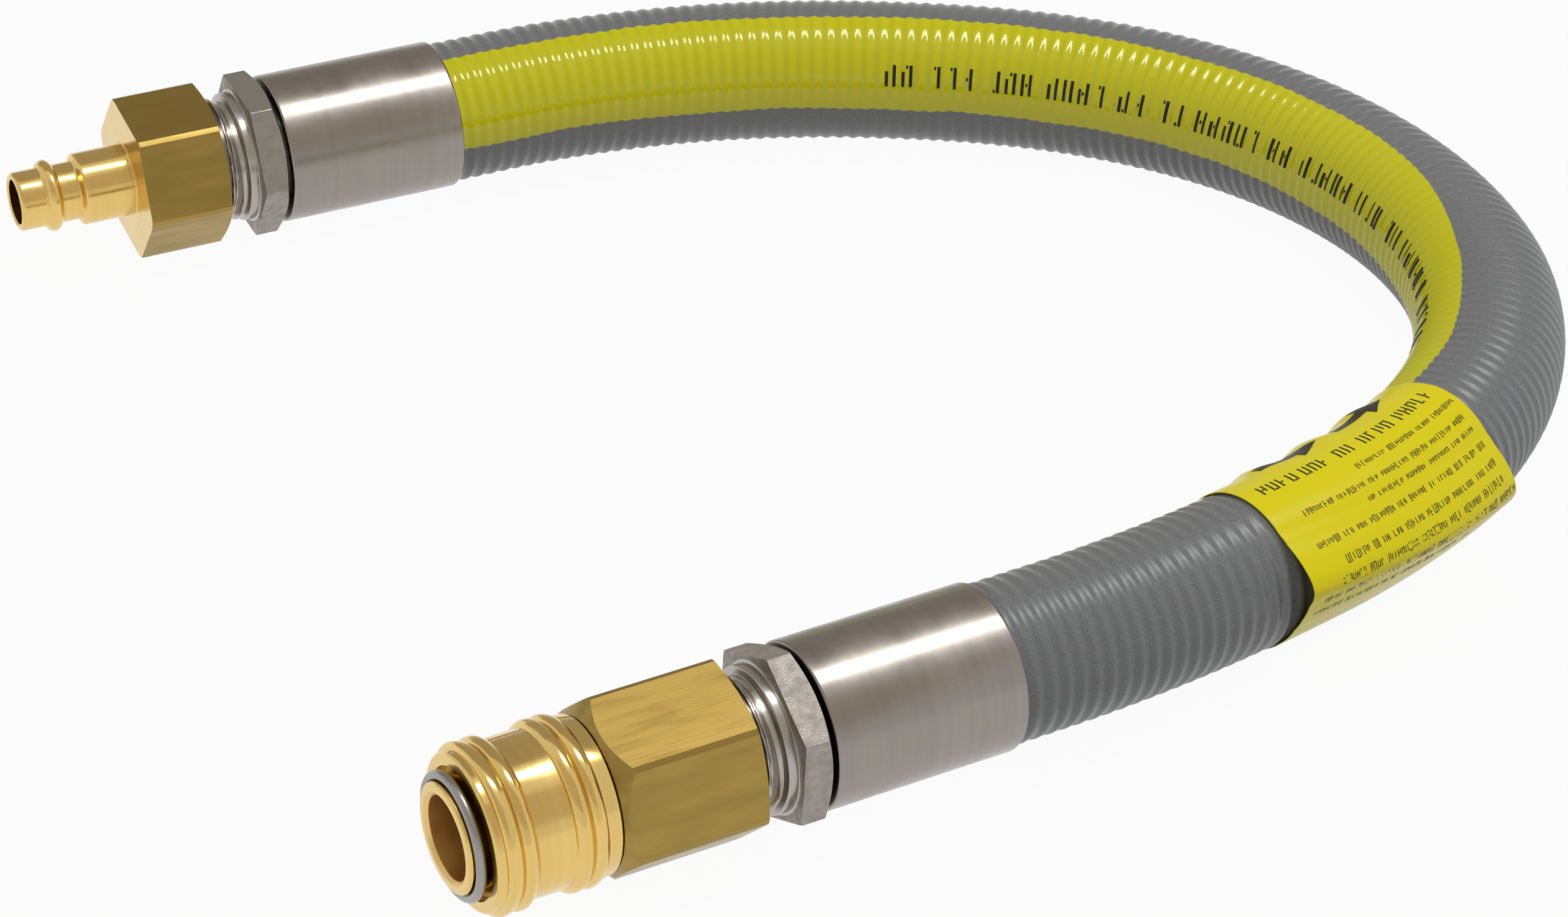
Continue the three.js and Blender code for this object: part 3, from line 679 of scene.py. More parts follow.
@dataclass(frozen=True)
class PrintedFilm:
    """Thin plastic film or the ink on it: one even colour with a satin shine.

    Args:
        name: the material's name.
        colour: its sRGB colour.
        roughness: from glossy at 0 to dull at 1.
        dents: shallow dents a mm, of 5 mm, as soft film takes them from the hose's ribs.
    """

    name: str
    colour: str
    roughness: float
    dents: float = 0.19

    def material(self) -> bpy.types.Material:
        """Returns the finish as a material."""
        g = Graph(bpy.data.materials.new(self.name))
        place = g.add("TexCoord").outputs["Object"]
        dents = g.add("TexNoise", Vector=place, Scale=self.dents / MM, Detail=2.0)
        normal = g.add("Bump", Height=dents, Distance=60 * MICRON)
        shader = g.add("BsdfPrincipled", Base_Color=linear(self.colour), Normal=normal,
                       Roughness=self.roughness, IOR=1.5, Specular_IOR_Level=0.25)
        g.add("OutputMaterial", Surface=shader)
        return g.owner


def made(finish: Union[TurnedMetal, DrawnBar, Rubber, HosePvc, PrintedFilm]) -> bpy.types.Material:
    """Declares a palette's material, which is made when the palette is."""
    return field(default_factory=finish.material)


@dataclass
class Palette:
    """Every finish of the hose, made once."""

    # Machined and polished: clear reflections with faint rings
    polished_brass: bpy.types.Material = made(
        TurnedMetal("turned_polished_brass", "#e7c678", 0.12, 2.0))
    # Reamed and left: a softer shine, so that light from the mouth shows down the bore; its colour
    # is painted a little lighter than the outer brass, a painted lift of light against the shade
    # in the bore
    bore_brass_painted_lighter: bpy.types.Material = made(TurnedMetal("reamed_brass_bore_painted_lighter", "#efcb84", 0.34, 3.0))
    # As drawn, then handled: lengthwise satin, olive patches of 12 by 2 mm and small knocks
    bar_brass: bpy.types.Material = made(
        DrawnBar("drawn_brass_bar", "#a68b49", "#8f7c42", 0.26, 4, 5, (0.08, 0.5, 0.5)))
    # Zinc over turned steel: grey shine with tight rings
    turned_steel: bpy.types.Material = made(
        TurnedMetal("turned_zinc_plated_steel", "#b3aea7", 0.2, 5))
    # Blasted hexagon: matte and grainy, with blotches of 1.4 mm
    hex_steel: bpy.types.Material = made(
        DrawnBar("blasted_steel_hexagon", "#a39d96", "#8a847d", 0.42, 45, 2, (0.7, 0.7, 0.7)))
    # Satin turned stainless tube: highlights drawn along the axis
    stainless: bpy.types.Material = made(
        TurnedMetal("satin_turned_stainless", "#9a938c", 0.19, 4.5, 0.08, 0.7))
    # Drawn and hardened wire and balls: a cooler grey, a little darker than the plated steel
    spring_steel: bpy.types.Material = made(
        TurnedMetal("bright_spring_steel", "#a09e9b", 0.25, 1))
    # Seals and liner: black that takes no clear reflection
    rubber: bpy.types.Material = made(Rubber())
    # Soft and extruded: grey with a bloom, and a broad soft highlight along the hose
    hose: bpy.types.Material = made(HosePvc())
    # Glossy film: even yellow that shines where it wrinkles
    film: bpy.types.Material = made(PrintedFilm("yellow_label_film", "#ebde00", 0.28))
    # Printed ink: warm black, a little duller than the film
    ink: bpy.types.Material = made(PrintedFilm("black_print_ink", "#23241c", 0.4))


@dataclass
class HexNipple:
    """A steel hose nipple: thread, groove, collar, hexagon and tail.

    Places run from the hexagon's front face towards the hose.
    """

    end: End
    at: float
    hex_turn: float
    node: str
    hex_length: float = 4.8
    hex_chamfer: float = 0.55
    bore_r: float = 6.0
    thread: Thread = Thread()
    thread_front: float = -13.8
    thread_rear: float = -2.9
    thread_steps: int = 90
    lead_r: float = 9.4
    lead: float = 0.8
    groove_r: float = 9.7
    collar_front: float = -1.95
    collar_r: float = 10.9
    collar_root: float = 0.45
    neck_r: float = 8.9
    neck_rear: float = 7.6
    tail_r: float = 7.4
    tail_rear: float = 33.6
    tail_taper: float = 0.5

    def build(self, palette: Palette) -> None:
        """Makes the nipple in its two finishes.

        Args:
            palette: the finishes.
        """
        corner = ACROSS_FLATS / math.sqrt(3) - 0.05
        face, crest = self.hex_length, self.thread.major_r
        outline = Outline()
        outline.to(self.thread_front, self.bore_r)
        outline.to(self.thread_front, self.lead_r)
        outline.to(self.thread_front + self.lead, self.lead_r + self.lead)
        outline.to(self.thread_front + self.lead + 0.1, crest, section=Section.THREAD)
        outline.to(self.thread_rear, crest, section=Section.THREAD, steps=self.thread_steps)
        outline.to(self.thread_rear + 0.1, self.groove_r)
        outline.to(self.collar_front, self.groove_r, 0.15)
        outline.to(self.collar_front + 0.2, self.collar_r, 0.3)
        outline.to(-0.25, self.collar_r, 0.1)
        outline.curve(-0.02, self.collar_r, 0, self.collar_r + self.collar_root, 4)
        outline.to(0, corner - 0.1, section=Section.HEX, steps=8)
        outline.to(0.12, corner, section=Section.HEX)
        outline.to(face - 2 * self.hex_chamfer, corner, section=Section.EDGE_OF_CONE_AFTER)
        outline.to(face, ACROSS_FLATS / 2 - self.hex_chamfer)
        outline.to(face, self.neck_r)
        outline.to(self.neck_rear, self.neck_r)
        outline.to(self.neck_rear, self.tail_r)
        outline.to(self.tail_rear, self.tail_r - self.tail_taper)
        outline.to(self.tail_rear, self.bore_r)
        hexagon = Hexagon(self.hex_turn, corner)
        obj = turned(self.node, outline, self.end, hexagon, self.at, self.thread)
        stand_for(obj, self.node, "hose", palette.turned_steel)
        rim = self.collar_r + self.collar_root
        refinish(obj, palette.hex_steel, lambda middle, _: (
            -0.001 < middle.x - self.at < face + 0.001 and math.hypot(middle.y, middle.z) > rim))
        log.info("%s: steel nipple with a shown thread", self.node)


@dataclass
class Ferrule:
    """A crimped stainless sleeve with rolled ends."""

    end: End
    at: float
    node: str
    length: float = FERRULE_LENGTH
    radius: float = 12.55
    bore_r: float = 11.3
    front_rounding: float = 0.45
    rear_rounding: float = 0.7
    rounding_steps: int = 8
    collar: float = 2.0
    hole_r: float = 9.2

    def build(self, palette: Palette) -> None:
        """Makes the sleeve.

        Args:
            palette: the finishes.
        """
        front, rear, steps = self.front_rounding, self.rear_rounding, self.rounding_steps
        outline = Outline()
        outline.to(0, self.hole_r)
        outline.to(0, self.radius - front)
        outline.curve(0, self.radius, front, self.radius, steps)
        outline.to(self.length - rear, self.radius)
        outline.curve(self.length, self.radius, self.length, self.radius - rear, steps)
        outline.to(self.length, self.bore_r, 0.2)
        outline.to(self.collar, self.bore_r)
        outline.to(self.collar, self.hole_r)
        obj = turned(self.node, outline, self.end, at=self.at)
        stand_for(obj, self.node, "hose", palette.stainless)
        log.info("%s: satin crimped sleeve", self.node)


@dataclass
class Coupler:
    """The brass quick coupler: tube, ridged sleeve, wire ring and hexagon.

    Places run from the mouth towards the hose, and the ridges' from the sleeve's front.
    """

    tube_r: float = 8.05
    mouth_r: float = 6.1
    mouth_bevel: float = 0.5
    tube_length: float = 31.0
    chamber_r: float = 7.0
    chamber_start: float = 21.2
    ring_at: float = 1.35
    ring_wire_r: float = 0.75
    ring_groove: float = 0.4
    ring_steps: int = 20
    ball_at: float = 9.5
    ball_hole_r: float = 1.8
    ball_count: int = 6
    drill_length: float = 8.0
    sleeve_front: float = 2.6
    sleeve_rear: float = 21.3
    sleeve_r: float = 11.5
    sleeve_edge: float = 0.35
    sleeve_bore_r: float = 8.4
    lip_r: float = 9.65
    lip_rear: float = 4.8
    cam_r: float = 10.17
    # The recess for the balls: where its slope starts and ends, and its front
    cam_places: Point = (12.25, 8.0, 7.0)
    spring_room_r: float = 10.3
    spring_room_front: float = 14.6
    # A ridge's curves: each bends at ridge_r and this place, and ends at this place and radius
    ridge_r: float = 12.42
    front_ridges: tuple[Point, ...] = (
        (1.4, 2.05, 12.42), (2.85, 3.75, 11.85), (3.95, 4.9, 12.42), (5.4, 6.25, 11.5))
    waist_rear: float = 11.75
    rear_ridges: tuple[Point, ...] = (
        (12.2, 13.1, 12.42), (13.6, 14.3, 11.85), (14.6, 15.2, 12.42), (15.9, 16.5, 11.85))
    nose_r: float = 11.3
    nose_front: float = 21.6
    body_front: float = 20.0
    body_bore_r: float = 8.35
    body_neck_r: float = 10.0
    # The wall behind the valve spring, and the hole in it
    wall: tuple[float, float] = (32.6, 34.5)
    wall_hole_r: float = 3.6
    hex_front: float = 23.8
    hex_rear: float = 43.5
    hex_turn: float = 43.0
    hex_corner_r: float = 13.6
    hex_chamfer: float = 0.55
    thread_hole_r: float = 10.5
    thread_bevel: float = 0.5

    def build(self, palette: Palette) -> None:
        """Makes the coupler's shown pieces.

        Args:
            palette: the finishes.
        """
        self._tube(palette)
        self._ring(palette)
        self._sleeve(palette)
        self._rear_body(palette)

    def _tube(self, palette: Palette) -> None:
        """Makes the tube with the mouth, the wire's groove and the balls' holes.

        Args:
            palette: the finishes.
        """
        front, rear = [self.ring_at + side * (self.ring_wire_r + 0.1) for side in (-1, 1)]
        groove_r = self.tube_r - self.ring_groove
        outline = Outline()
        outline.to(0, self.mouth_r + self.mouth_bevel, 0.12)
        outline.to(0, self.tube_r - 0.7, 0.1)
        outline.curve(0, self.tube_r, front, self.tube_r, 6)
        outline.to(front, groove_r)
        outline.to(rear, groove_r)
        outline.to(rear, self.tube_r)
        outline.to(self.tube_length, self.tube_r)
        outline.to(self.tube_length, self.chamber_r)
        outline.to(self.chamber_start + self.chamber_r - self.mouth_r, self.chamber_r)
        outline.to(self.chamber_start, self.mouth_r)
        outline.to(self.mouth_bevel, self.mouth_r, 0.12)
        obj = turned("coupler_front_body", outline, End.COUPLER)
        self._drill_ball_holes(obj)
        stand_for(obj, "coupler_front_body", "hose", palette.polished_brass)
        inside = self.chamber_r + 0.2
        # The bore's inner faces take the lighter brass: painted light against the shade down the
        # bore
        refinish(obj, palette.bore_brass_painted_lighter, lambda middle, out: (
            middle.y * out.y + middle.z * out.z < 0 and math.hypot(middle.y, middle.z) < inside))
        log.info("coupler_front_body: mouth tube with ball holes")

    def _drill_ball_holes(self, obj: bpy.types.Object) -> None:
        """Cuts the radial holes that the locking balls drop through.

        Args:
            obj: the tube.
        """
        drills = []
        for i in range(self.ball_count):
            bpy.ops.mesh.primitive_cylinder_add(vertices=32, radius=self.ball_hole_r * MM,
                                                depth=self.drill_length * MM)
            drill = bpy.context.object
            turn = Matrix.Rotation(2 * math.pi * i / self.ball_count, 4, "X")
            reach = Matrix.Translation(Vector((self.ball_at, 0, self.drill_length)) * MM)
            drill.matrix_world = End.COUPLER.matrix() @ turn @ reach
            drills.append(drill)
        bpy.context.view_layer.update()
        for drill in drills:
            cut = obj.modifiers.new("ball_hole", "BOOLEAN")
            cut.operation = "DIFFERENCE"
            cut.solver = "EXACT"
            cut.object = drill
        graph = bpy.context.evaluated_depsgraph_get()
        mesh = bpy.data.meshes.new_from_object(obj.evaluated_get(graph))
        obj.modifiers.clear()
        obj.data = mesh
        smooth(obj)
        for drill in drills:
            bpy.data.objects.remove(drill)

    def _ring(self, palette: Palette) -> None:
        """Makes the wire ring that keeps the sleeve on.

        Args:
            palette: the finishes.
        """
        middle = self.tube_r - 0.1 + self.ring_wire_r
        outline = Outline()
        for i in range(self.ring_steps):
            turn = math.pi - 2 * math.pi * i / self.ring_steps
            outline.to(self.ring_at + self.ring_wire_r * math.cos(turn),
                       middle + self.ring_wire_r * math.sin(turn))
        obj = turned("retaining_ring", outline, End.COUPLER)
        stand_for(obj, "retaining_ring", "hose", palette.spring_steel)
        log.info("retaining_ring: wire ring in its groove")

    def _sleeve(self, palette: Palette) -> None:
        """Makes the sleeve: ridges outside, lip, cam for the balls and spring room inside.

        Args:
            palette: the finishes.
        """
        front, ridge, edge = self.sleeve_front, self.ridge_r, self.sleeve_edge
        outline = Outline()
        outline.to(front, self.lip_r)
        outline.to(front, self.sleeve_r - edge, 0.1)
        outline.to(front + edge, self.sleeve_r, 0.1)
        outline.to(front + 1.25, self.sleeve_r, 0.15)
        for corner, place, radius in self.front_ridges:
            outline.curve(front + corner, ridge, front + place, radius)
        outline.to(front + self.waist_rear, self.sleeve_r)
        for corner, place, radius in self.rear_ridges:
            outline.curve(front + corner, ridge, front + place, radius)
        outline.to(self.sleeve_rear, self.sleeve_r, 0.12)
        outline.to(self.sleeve_rear, self.spring_room_r)
        outline.to(self.spring_room_front, self.spring_room_r)
        outline.to(self.spring_room_front, self.sleeve_bore_r)
        outline.to(self.cam_places[0], self.sleeve_bore_r)
        outline.to(self.cam_places[1], self.cam_r)
        outline.to(self.cam_places[2], self.cam_r)
        outline.to(self.cam_places[2], self.sleeve_bore_r)
        outline.to(self.lip_rear, self.sleeve_bore_r)
        outline.to(self.lip_rear, self.lip_r)
        obj = turned("coupler_sleeve", outline, End.COUPLER)
        stand_for(obj, "coupler_sleeve", "sleeve", palette.polished_brass)
        log.info("coupler_sleeve: ridged sliding sleeve")

    def _rear_body(self, palette: Palette) -> None:
        """Makes the drawn hexagon with its turned nose, inner wall and thread hole.

        Args:
            palette: the finishes.
        """
        corner = self.hex_corner_r
        outline = Outline()
        outline.to(self.body_front, self.body_bore_r)
        outline.to(self.body_front, self.body_neck_r)
        outline.to(self.nose_front, self.body_neck_r)
        outline.to(self.nose_front, self.nose_r)
        outline.to(self.hex_front, corner, section=Section.EDGE_OF_CONE_BEFORE)
        outline.to(self.hex_rear - self.hex_chamfer, corner, section=Section.EDGE_OF_CONE_AFTER)
        outline.to(self.hex_rear, (ACROSS_FLATS - self.hex_chamfer) / 2)
        outline.to(self.hex_rear, self.thread_hole_r + self.thread_bevel)
        outline.to(self.hex_rear - self.thread_bevel, self.thread_hole_r)
        outline.to(self.wall[1], self.thread_hole_r)
        outline.to(self.wall[1], self.wall_hole_r)
        outline.to(self.wall[0], self.wall_hole_r)
        outline.to(self.wall[0], self.body_bore_r)
        hexagon = Hexagon(self.hex_turn, corner)
        obj = turned("coupler_rear_body", outline, End.COUPLER, hexagon)
        stand_for(obj, "coupler_rear_body", "hose", palette.bar_brass)
        # The nose faces the mouth and ends where the hexagon's corners start
        refinish(obj, palette.polished_brass, lambda middle, out: (
            out.x < -0.3 and middle.x < self.hex_front))
        log.info("coupler_rear_body: drawn hexagon with a turned nose")


@dataclass
class PlugAdapter:
    """The brass plug, turned in one piece with its hexagon, from its tip towards the hose."""

    tip_r: float = 4.95
    tip_bevel: float = 0.4
    bore_r: float = 3.8
    bore_bevel: float = 0.25
    ridge_r: float = 6.05
    ridge_at: float = 5.75
    ridge_half: float = 1.35
    ridge_shoulder: float = 0.6
    groove_r: float = 4.9
    groove_end: float = 10.2
    groove_slope: float = 0.7
    shank_r: float = 6.05
    shank_root: float = 0.3
    face_r: float = 11.9
    face_rim_r: float = 13.4
    hex_front: float = 19.45
    hex_rear: float = 33.95
    hex_turn: float = 51.0
    hex_corner_r: float = 13.6
    hex_chamfer: float = 0.55
    thread_hole_r: float = 10.5
    thread_hole_front: float = 23.95
    thread_bevel: float = 0.5

    def build(self, palette: Palette) -> None:
        """Makes the plug.

        Args:
            palette: the finishes.
        """
        ridge_front = self.ridge_at - self.ridge_half
        ridge_rear = self.ridge_at + self.ridge_half
        shoulder, front, soft = self.ridge_shoulder, self.hex_front, 0.25
        outline = Outline()
        outline.to(0, self.bore_r + self.bore_bevel)
        outline.to(0, self.tip_r - self.tip_bevel, 0.2)
        outline.to(self.tip_bevel, self.tip_r, soft)
        outline.to(ridge_front, self.tip_r, 0.2)
        outline.curve(ridge_front + shoulder, self.ridge_r, self.ridge_at, self.ridge_r)
        outline.curve(ridge_rear - shoulder, self.ridge_r, ridge_rear, self.groove_r)
        outline.to(self.groove_end, self.groove_r, soft)
        outline.to(self.groove_end + self.groove_slope, self.shank_r, soft)
        outline.to(front - self.shank_root, self.shank_r)
        outline.curve(front, self.shank_r, front, self.shank_r + self.shank_root, 4)
        outline.to(front, self.face_r)
        outline.to(front, self.face_rim_r, section=Section.HEX, steps=4)
        outline.to(front + 0.2, self.hex_corner_r, section=Section.HEX)
        outline.to(self.hex_rear - self.hex_chamfer, self.hex_corner_r,
                   section=Section.EDGE_OF_CONE_AFTER)
        outline.to(self.hex_rear, (ACROSS_FLATS - self.hex_chamfer) / 2)
        outline.to(self.hex_rear, self.thread_hole_r + self.thread_bevel)
        outline.to(self.hex_rear - self.thread_bevel, self.thread_hole_r)
        outline.to(self.thread_hole_front, self.thread_hole_r)
        outline.to(self.thread_hole_front, self.bore_r)
        outline.to(self.bore_bevel, self.bore_r)
        hexagon = Hexagon(self.hex_turn, self.hex_corner_r)
        obj = turned("plug_adapter", outline, End.PLUG, hexagon)
        stand_for(obj, "plug_adapter", "hose", palette.bar_brass)
        refinish(obj, palette.polished_brass, lambda middle, _: middle.x < front + 0.01)
        log.info("plug_adapter: turned plug with its hexagon")


# The hose's middle line between the ferrules in metres, from the coupler's end
HOSE_ROUTE: list[Point] = [
    (0.0567, -0.0970, 0.0136),
    (0.0727, -0.0954, 0.0133),
    (0.0886, -0.0927, 0.0129),
    (0.1043, -0.0891, 0.0125),
    (0.1196, -0.0839, 0.0122),
    (0.1337, -0.0765, 0.0120),
    (0.1467, -0.0670, 0.0120),
    (0.1574, -0.0550, 0.0120),
    (0.1652, -0.0408, 0.0120),
    (0.1694, -0.0252, 0.0120),
    (0.1704, -0.0090, 0.0120),
    (0.1682, 0.0071, 0.0120),
    (0.1632, 0.0223, 0.0120),
    (0.1555, 0.0365, 0.0120),
    (0.1456, 0.0492, 0.0120),
    (0.1339, 0.0602, 0.0120),
    (0.1208, 0.0697, 0.0120),
    (0.1069, 0.0777, 0.0121),
    (0.0921, 0.0840, 0.0123),
    (0.0766, 0.0883, 0.0126),
    (0.0608, 0.0911, 0.0128),
]


class Route:
    """The hose's middle line, with a side and an up direction at every place along it."""

    steps_a_point = 40

    def __init__(self, points: Iterable[Vector]) -> None:
        """Lays the line.

        Args:
            points: what the line passes, in metres.
        """
        dense = self._through(list(points))
        steps = np.linalg.norm(np.diff(dense, axis=0), axis=1)
        self._points = dense
        self._along = np.concatenate([[0], np.cumsum(steps)])
        self.length = float(self._along[-1])

    @staticmethod
    def _through(points: list[Vector]) -> np.ndarray:
        """Draws a centripetal curve through some points.

        Args:
            points: the points in metres.

        Returns:
            Many points of the curve, one a row.
        """
        given = [2 * points[0] - points[1], *points, 2 * points[-1] - points[-2]]
        found = []
        for p0, p1, p2, p3 in zip(given, given[1:], given[2:], given[3:]):
            t0 = 0.0
            t1 = math.sqrt((p1 - p0).length)
            t2 = t1 + math.sqrt((p2 - p1).length)
            t3 = t2 + math.sqrt((p3 - p2).length)
            for i in range(Route.steps_a_point):
                t = t1 + (t2 - t1) * i / Route.steps_a_point
                a1 = p0 * ((t1 - t) / (t1 - t0)) + p1 * ((t - t0) / (t1 - t0))
                a2 = p1 * ((t2 - t) / (t2 - t1)) + p2 * ((t - t1) / (t2 - t1))
                a3 = p2 * ((t3 - t) / (t3 - t2)) + p3 * ((t - t2) / (t3 - t2))
                b1 = a1 * ((t2 - t) / (t2 - t0)) + a2 * ((t - t0) / (t2 - t0))
                b2 = a2 * ((t3 - t) / (t3 - t1)) + a3 * ((t - t1) / (t3 - t1))
                found.append(b1 * ((t2 - t) / (t2 - t1)) + b2 * ((t - t1) / (t2 - t1)))
        found.append(points[-1])
        return np.array([tuple(p) for p in found])

    def at(self, along: float) -> Vector:
        """Returns the point this many metres along."""
        return Vector([float(np.interp(along, self._along, self._points[:, k])) for k in range(3)])

    def surface(self, along: float, angle: float, radius: float) -> Point:
        """Returns a point round the line.

        Args:
            along: metres along the line.
            angle: radians up from level on the outer side of the bend.
            radius: metres from the line.

        Returns:
            The point in metres.
        """
        # The line's direction is measured over 3 mm of it
        step = 1.5 * MM
        ahead = (self.at(along + step) - self.at(along - step)).normalized()
        outward = ahead.cross(Vector((0, 0, 1))).normalized()
        up = outward.cross(ahead)
        reach = outward * math.cos(angle) + up * math.sin(angle)
        return tuple(self.at(along) + reach * radius)


@dataclass
class Hose:
    """The ribbed hose, from inside one ferrule to inside the other.

    It is laid with a slight twist, which takes the stripe under near the coupler, and the bend
    turns the stripe a little more. Twists are in turns and their places in shares of the hose.
    """

    route: Route
    start: Vector
    radius: float = 12.0
    bore_r: float = 9.75
    rib_pitch: float = 2.41
    rib_depth: float = 0.3
    in_ferrule: float = HOSE_IN_FERRULE
    squeezed_r: float = 11.0
    sides: int = 60
    steps_a_rib: int = 8
    bore_steps: int = 90
    path_every: int = 4
    lay_twist: float = 0.12
    lay_until: float = 0.4
    lay_power: float = 1.6
    bend_twist: float = 0.03
    bend_at: float = 0.38
    bend_spread: float = 0.08

    def skin(self, along: float) -> float:
        """Gives the ribbed outer radius.

        Args:
            along: mm along the shown hose.

        Returns:
            The radius in mm.
        """
        valley = 0.5 + 0.5 * math.cos(2 * math.pi * along / self.rib_pitch)
        ribbed = self.radius - self.rib_depth * valley
        from_end = min(along, self.route.length / MM - along)
        squeeze = min(max(from_end / self.in_ferrule, 0), 1)
        return self.squeezed_r + (ribbed - self.squeezed_r) * squeeze ** 0.5

    def stripe_turn(self, share: float) -> float:
        """Returns how far the stripe has turned, in turns, at a share of the hose's length."""
        bent = self.bend_twist * math.exp(-((share - self.bend_at) / self.bend_spread) ** 2)
        return -bent - self.lay_twist * max(0.0, 1 - share / self.lay_until) ** self.lay_power

    def build(self, palette: Palette, pieces: list[bpy.types.Object]) -> None:
        """Makes the hose and logs its length.

        Args:
            palette: the finishes.
            pieces: what is on the hose; not used.
        """
        length = self.route.length / MM
        count = round(length / self.rib_pitch * self.steps_a_rib)
        places = [length * i / count for i in range(count + 1)]
        inner = [length * (1 - i / self.bore_steps) for i in range(self.bore_steps + 1)]
        rings = [(s, self.skin(s)) for s in places] + [(s, self.bore_r) for s in inner]
        rows = []
        for s, r in rings:
            rows.append([self.route.surface(s * MM, 2 * math.pi * j / self.sides, r * MM)
                         for j in range(self.sides)])

        def spread(i: int, j: int) -> tuple[float, float]:
            """Returns the map coordinates of a ring's point."""
            s = rings[i % len(rings)][0]
            return s * MM, j / self.sides + self.stripe_turn(s / length)

        obj = add_grid("hose_cover", rows, True, True, spread)
        stand_for(obj, "hose_cover", "hose", palette.hose)
        centres = [self.route.at(s * MM) for s in places[::self.path_every]]
        centres.append(self.route.at(length * MM))
        log.info("hose_cover: %.0f mm of ribbed hose", length)


# The label's loose fold: degrees up from level on the outer side, and mm from the middle line
FOLD_SECTION = (
    (-40.0, 12.2),
    (-20.0, 12.6),
    (-8.5, 13.3),
    (4.0, 14.4),
    (9.0, 15.2),
    (14.0, 15.6),
    (20.0, 15.3),
    (27.0, 14.5),
    (35.0, 13.6),
    (44.0, 12.7),
    (54.0, 12.2),
)


@dataclass
class Label:
    """The film label, wrapped round the hose with a loose fold and wrinkles, and its print.

    Angles are in degrees up from level on the outer side of the bend.
    """

    route: Route
    start: float
    length: float = 46.4
    edge_angle: float = 66.0
    rows: int = 70
    columns: int = 150
    fold_climb: float = 14.0
    wrinkle: float = 0.8
    wrinkle_angles: tuple[float, float] = (105.0, 250.0)
    wrinkle_fades: tuple[float, float] = (35.0, 40.0)
    wrinkle_waves: float = 3.6
    wrinkle_lean: float = 60.0
    wrinkle_power: float = 1.5
    wrinkle_inset: tuple[float, float] = (0.2, 0.1)
    skew: float = 0.05
    thickness: float = 0.12
    heading_pitch: float = 2.0
    heading_angle: float = 92.0
    arrow_angle: float = 123.0
    seed: int = 11

    def reach(self, s: float, degrees: float) -> float:
        """Returns the sheet's distance from the hose's middle line.

        Args:
            s: mm along the label.
            degrees: its angle.

        Returns:
            The distance in mm.
        """
        share = s / self.length
        turns, reaches = zip(*FOLD_SECTION)
        radius = float(np.interp(degrees + self.fold_climb * share, turns, reaches))
        first, last = self.wrinkle_angles
        if degrees > first:
            window = (min((degrees - first) / self.wrinkle_fades[0], 1)
                      * min((last - degrees) / self.wrinkle_fades[1], 1))
            phase = 2 * math.pi * (share * self.wrinkle_waves + 0.1) + degrees / self.wrinkle_lean
            wave = 0.5 + 0.5 * math.sin(phase)
            inset = min(share / self.wrinkle_inset[0], (1 - share) / self.wrinkle_inset[1], 1)
            radius += self.wrinkle * max(window, 0) * inset * wave ** self.wrinkle_power
        return radius

    def point(self, s: float, degrees: float, lift: float = 0) -> Point:
        """Returns a point of the sheet.

        Args:
            s: mm along the label.
            degrees: its angle.
            lift: mm above the sheet.

        Returns:
            The point in metres.
        """
        radius = self.reach(s, degrees) + lift
        skew = 1 - self.skew * min(max(1 - degrees / 90, 0), 1)
        return self.route.surface((self.start + s * skew) * MM, math.radians(degrees), radius * MM)

    def build(self, palette: Palette) -> list[bpy.types.Object]:
        """Makes the sheet and its print.

        Args:
            palette: the finishes.

        Returns:
            The sheet and the print.
        """
        round_it = 180 + 2 * self.edge_angle
        columns = [-self.edge_angle + round_it * j / self.columns
                   for j in range(self.columns + 1)]
        rows = []
        for i in range(self.rows + 1):
            s = self.length * i / self.rows
            rows.append([*[self.point(s, d) for d in columns],
                         *[self.point(s, d, -self.thickness) for d in reversed(columns)]])
        sheet = add_grid("label", rows, True, False, caps=self._caps(len(rows), len(rows[0])))
        stand_for(sheet, "label", "hose", palette.film)
        ink = Ink(self.point)
        self._heading(ink)
        self._small_print(ink)
        self._arrows(ink)
        print_obj = ink.build("label_print", palette.ink)
        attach(print_obj, "hose")
        log.info("label: sheet with %d marks", ink.count)
        return [sheet, print_obj]

    @staticmethod
    def _caps(rows: int, wide: int) -> list[tuple[int, ...]]:
        """Returns the faces that close the sheet's two ends.

        Args:
            rows: its rows, whose points go out and come back.
            wide: points in a row.

        Returns:
            The faces, by the points' numbers.
        """
        faces = []
        for row, order in ((0, 1), (rows - 1, -1)):
            base = row * wide
            for j in range(wide // 2 - 1):
                cell = (base + j, base + wide - 1 - j, base + wide - 2 - j, base + j + 1)
                faces.append(cell[::order])
        return faces

    def _heading(self, ink: "Ink") -> None:
        """Draws the heading as groups of tall marks.

        Args:
            ink: takes the marks.
        """
        draw = random.Random(self.seed)
        wide, high, stroke = 1.35, 10.5, 0.33
        groups = ((3.2, 4), (12.0, 3), (19.6, 2), (25.4, 4), (34.6, 5))
        for begin, marks in groups:
            for i in range(marks):
                ink.mark(begin + i * self.heading_pitch, self.heading_angle, wide, high, stroke,
                         draw)

    def _small_print(self, ink: "Ink") -> None:
        """Draws rows of small marks, each as long as a printed line.

        Args:
            ink: takes the marks.
        """
        draw = random.Random(self.seed + 1)
        gap, word_gap, stroke = 0.22, 0.75, 0.14
        rows = ((74, 20, 45), (60, 6, 45), (49, 18, 44), (36, 4.5, 45), (23, 8, 44),
                (13, 6, 44), (4, 3, 43), (-6, 2, 42))
        for degrees, begin, end in rows:
            s = begin
            while s < end:
                for _ in range(draw.randint(2, 9)):
                    wide = draw.choice((0.4, 0.48, 0.6))
                    high = draw.choice((3.6, 3.6, 5.0))
                    ink.mark(s, degrees, wide, high, stroke, draw)
                    s += wide + gap
                s += word_gap

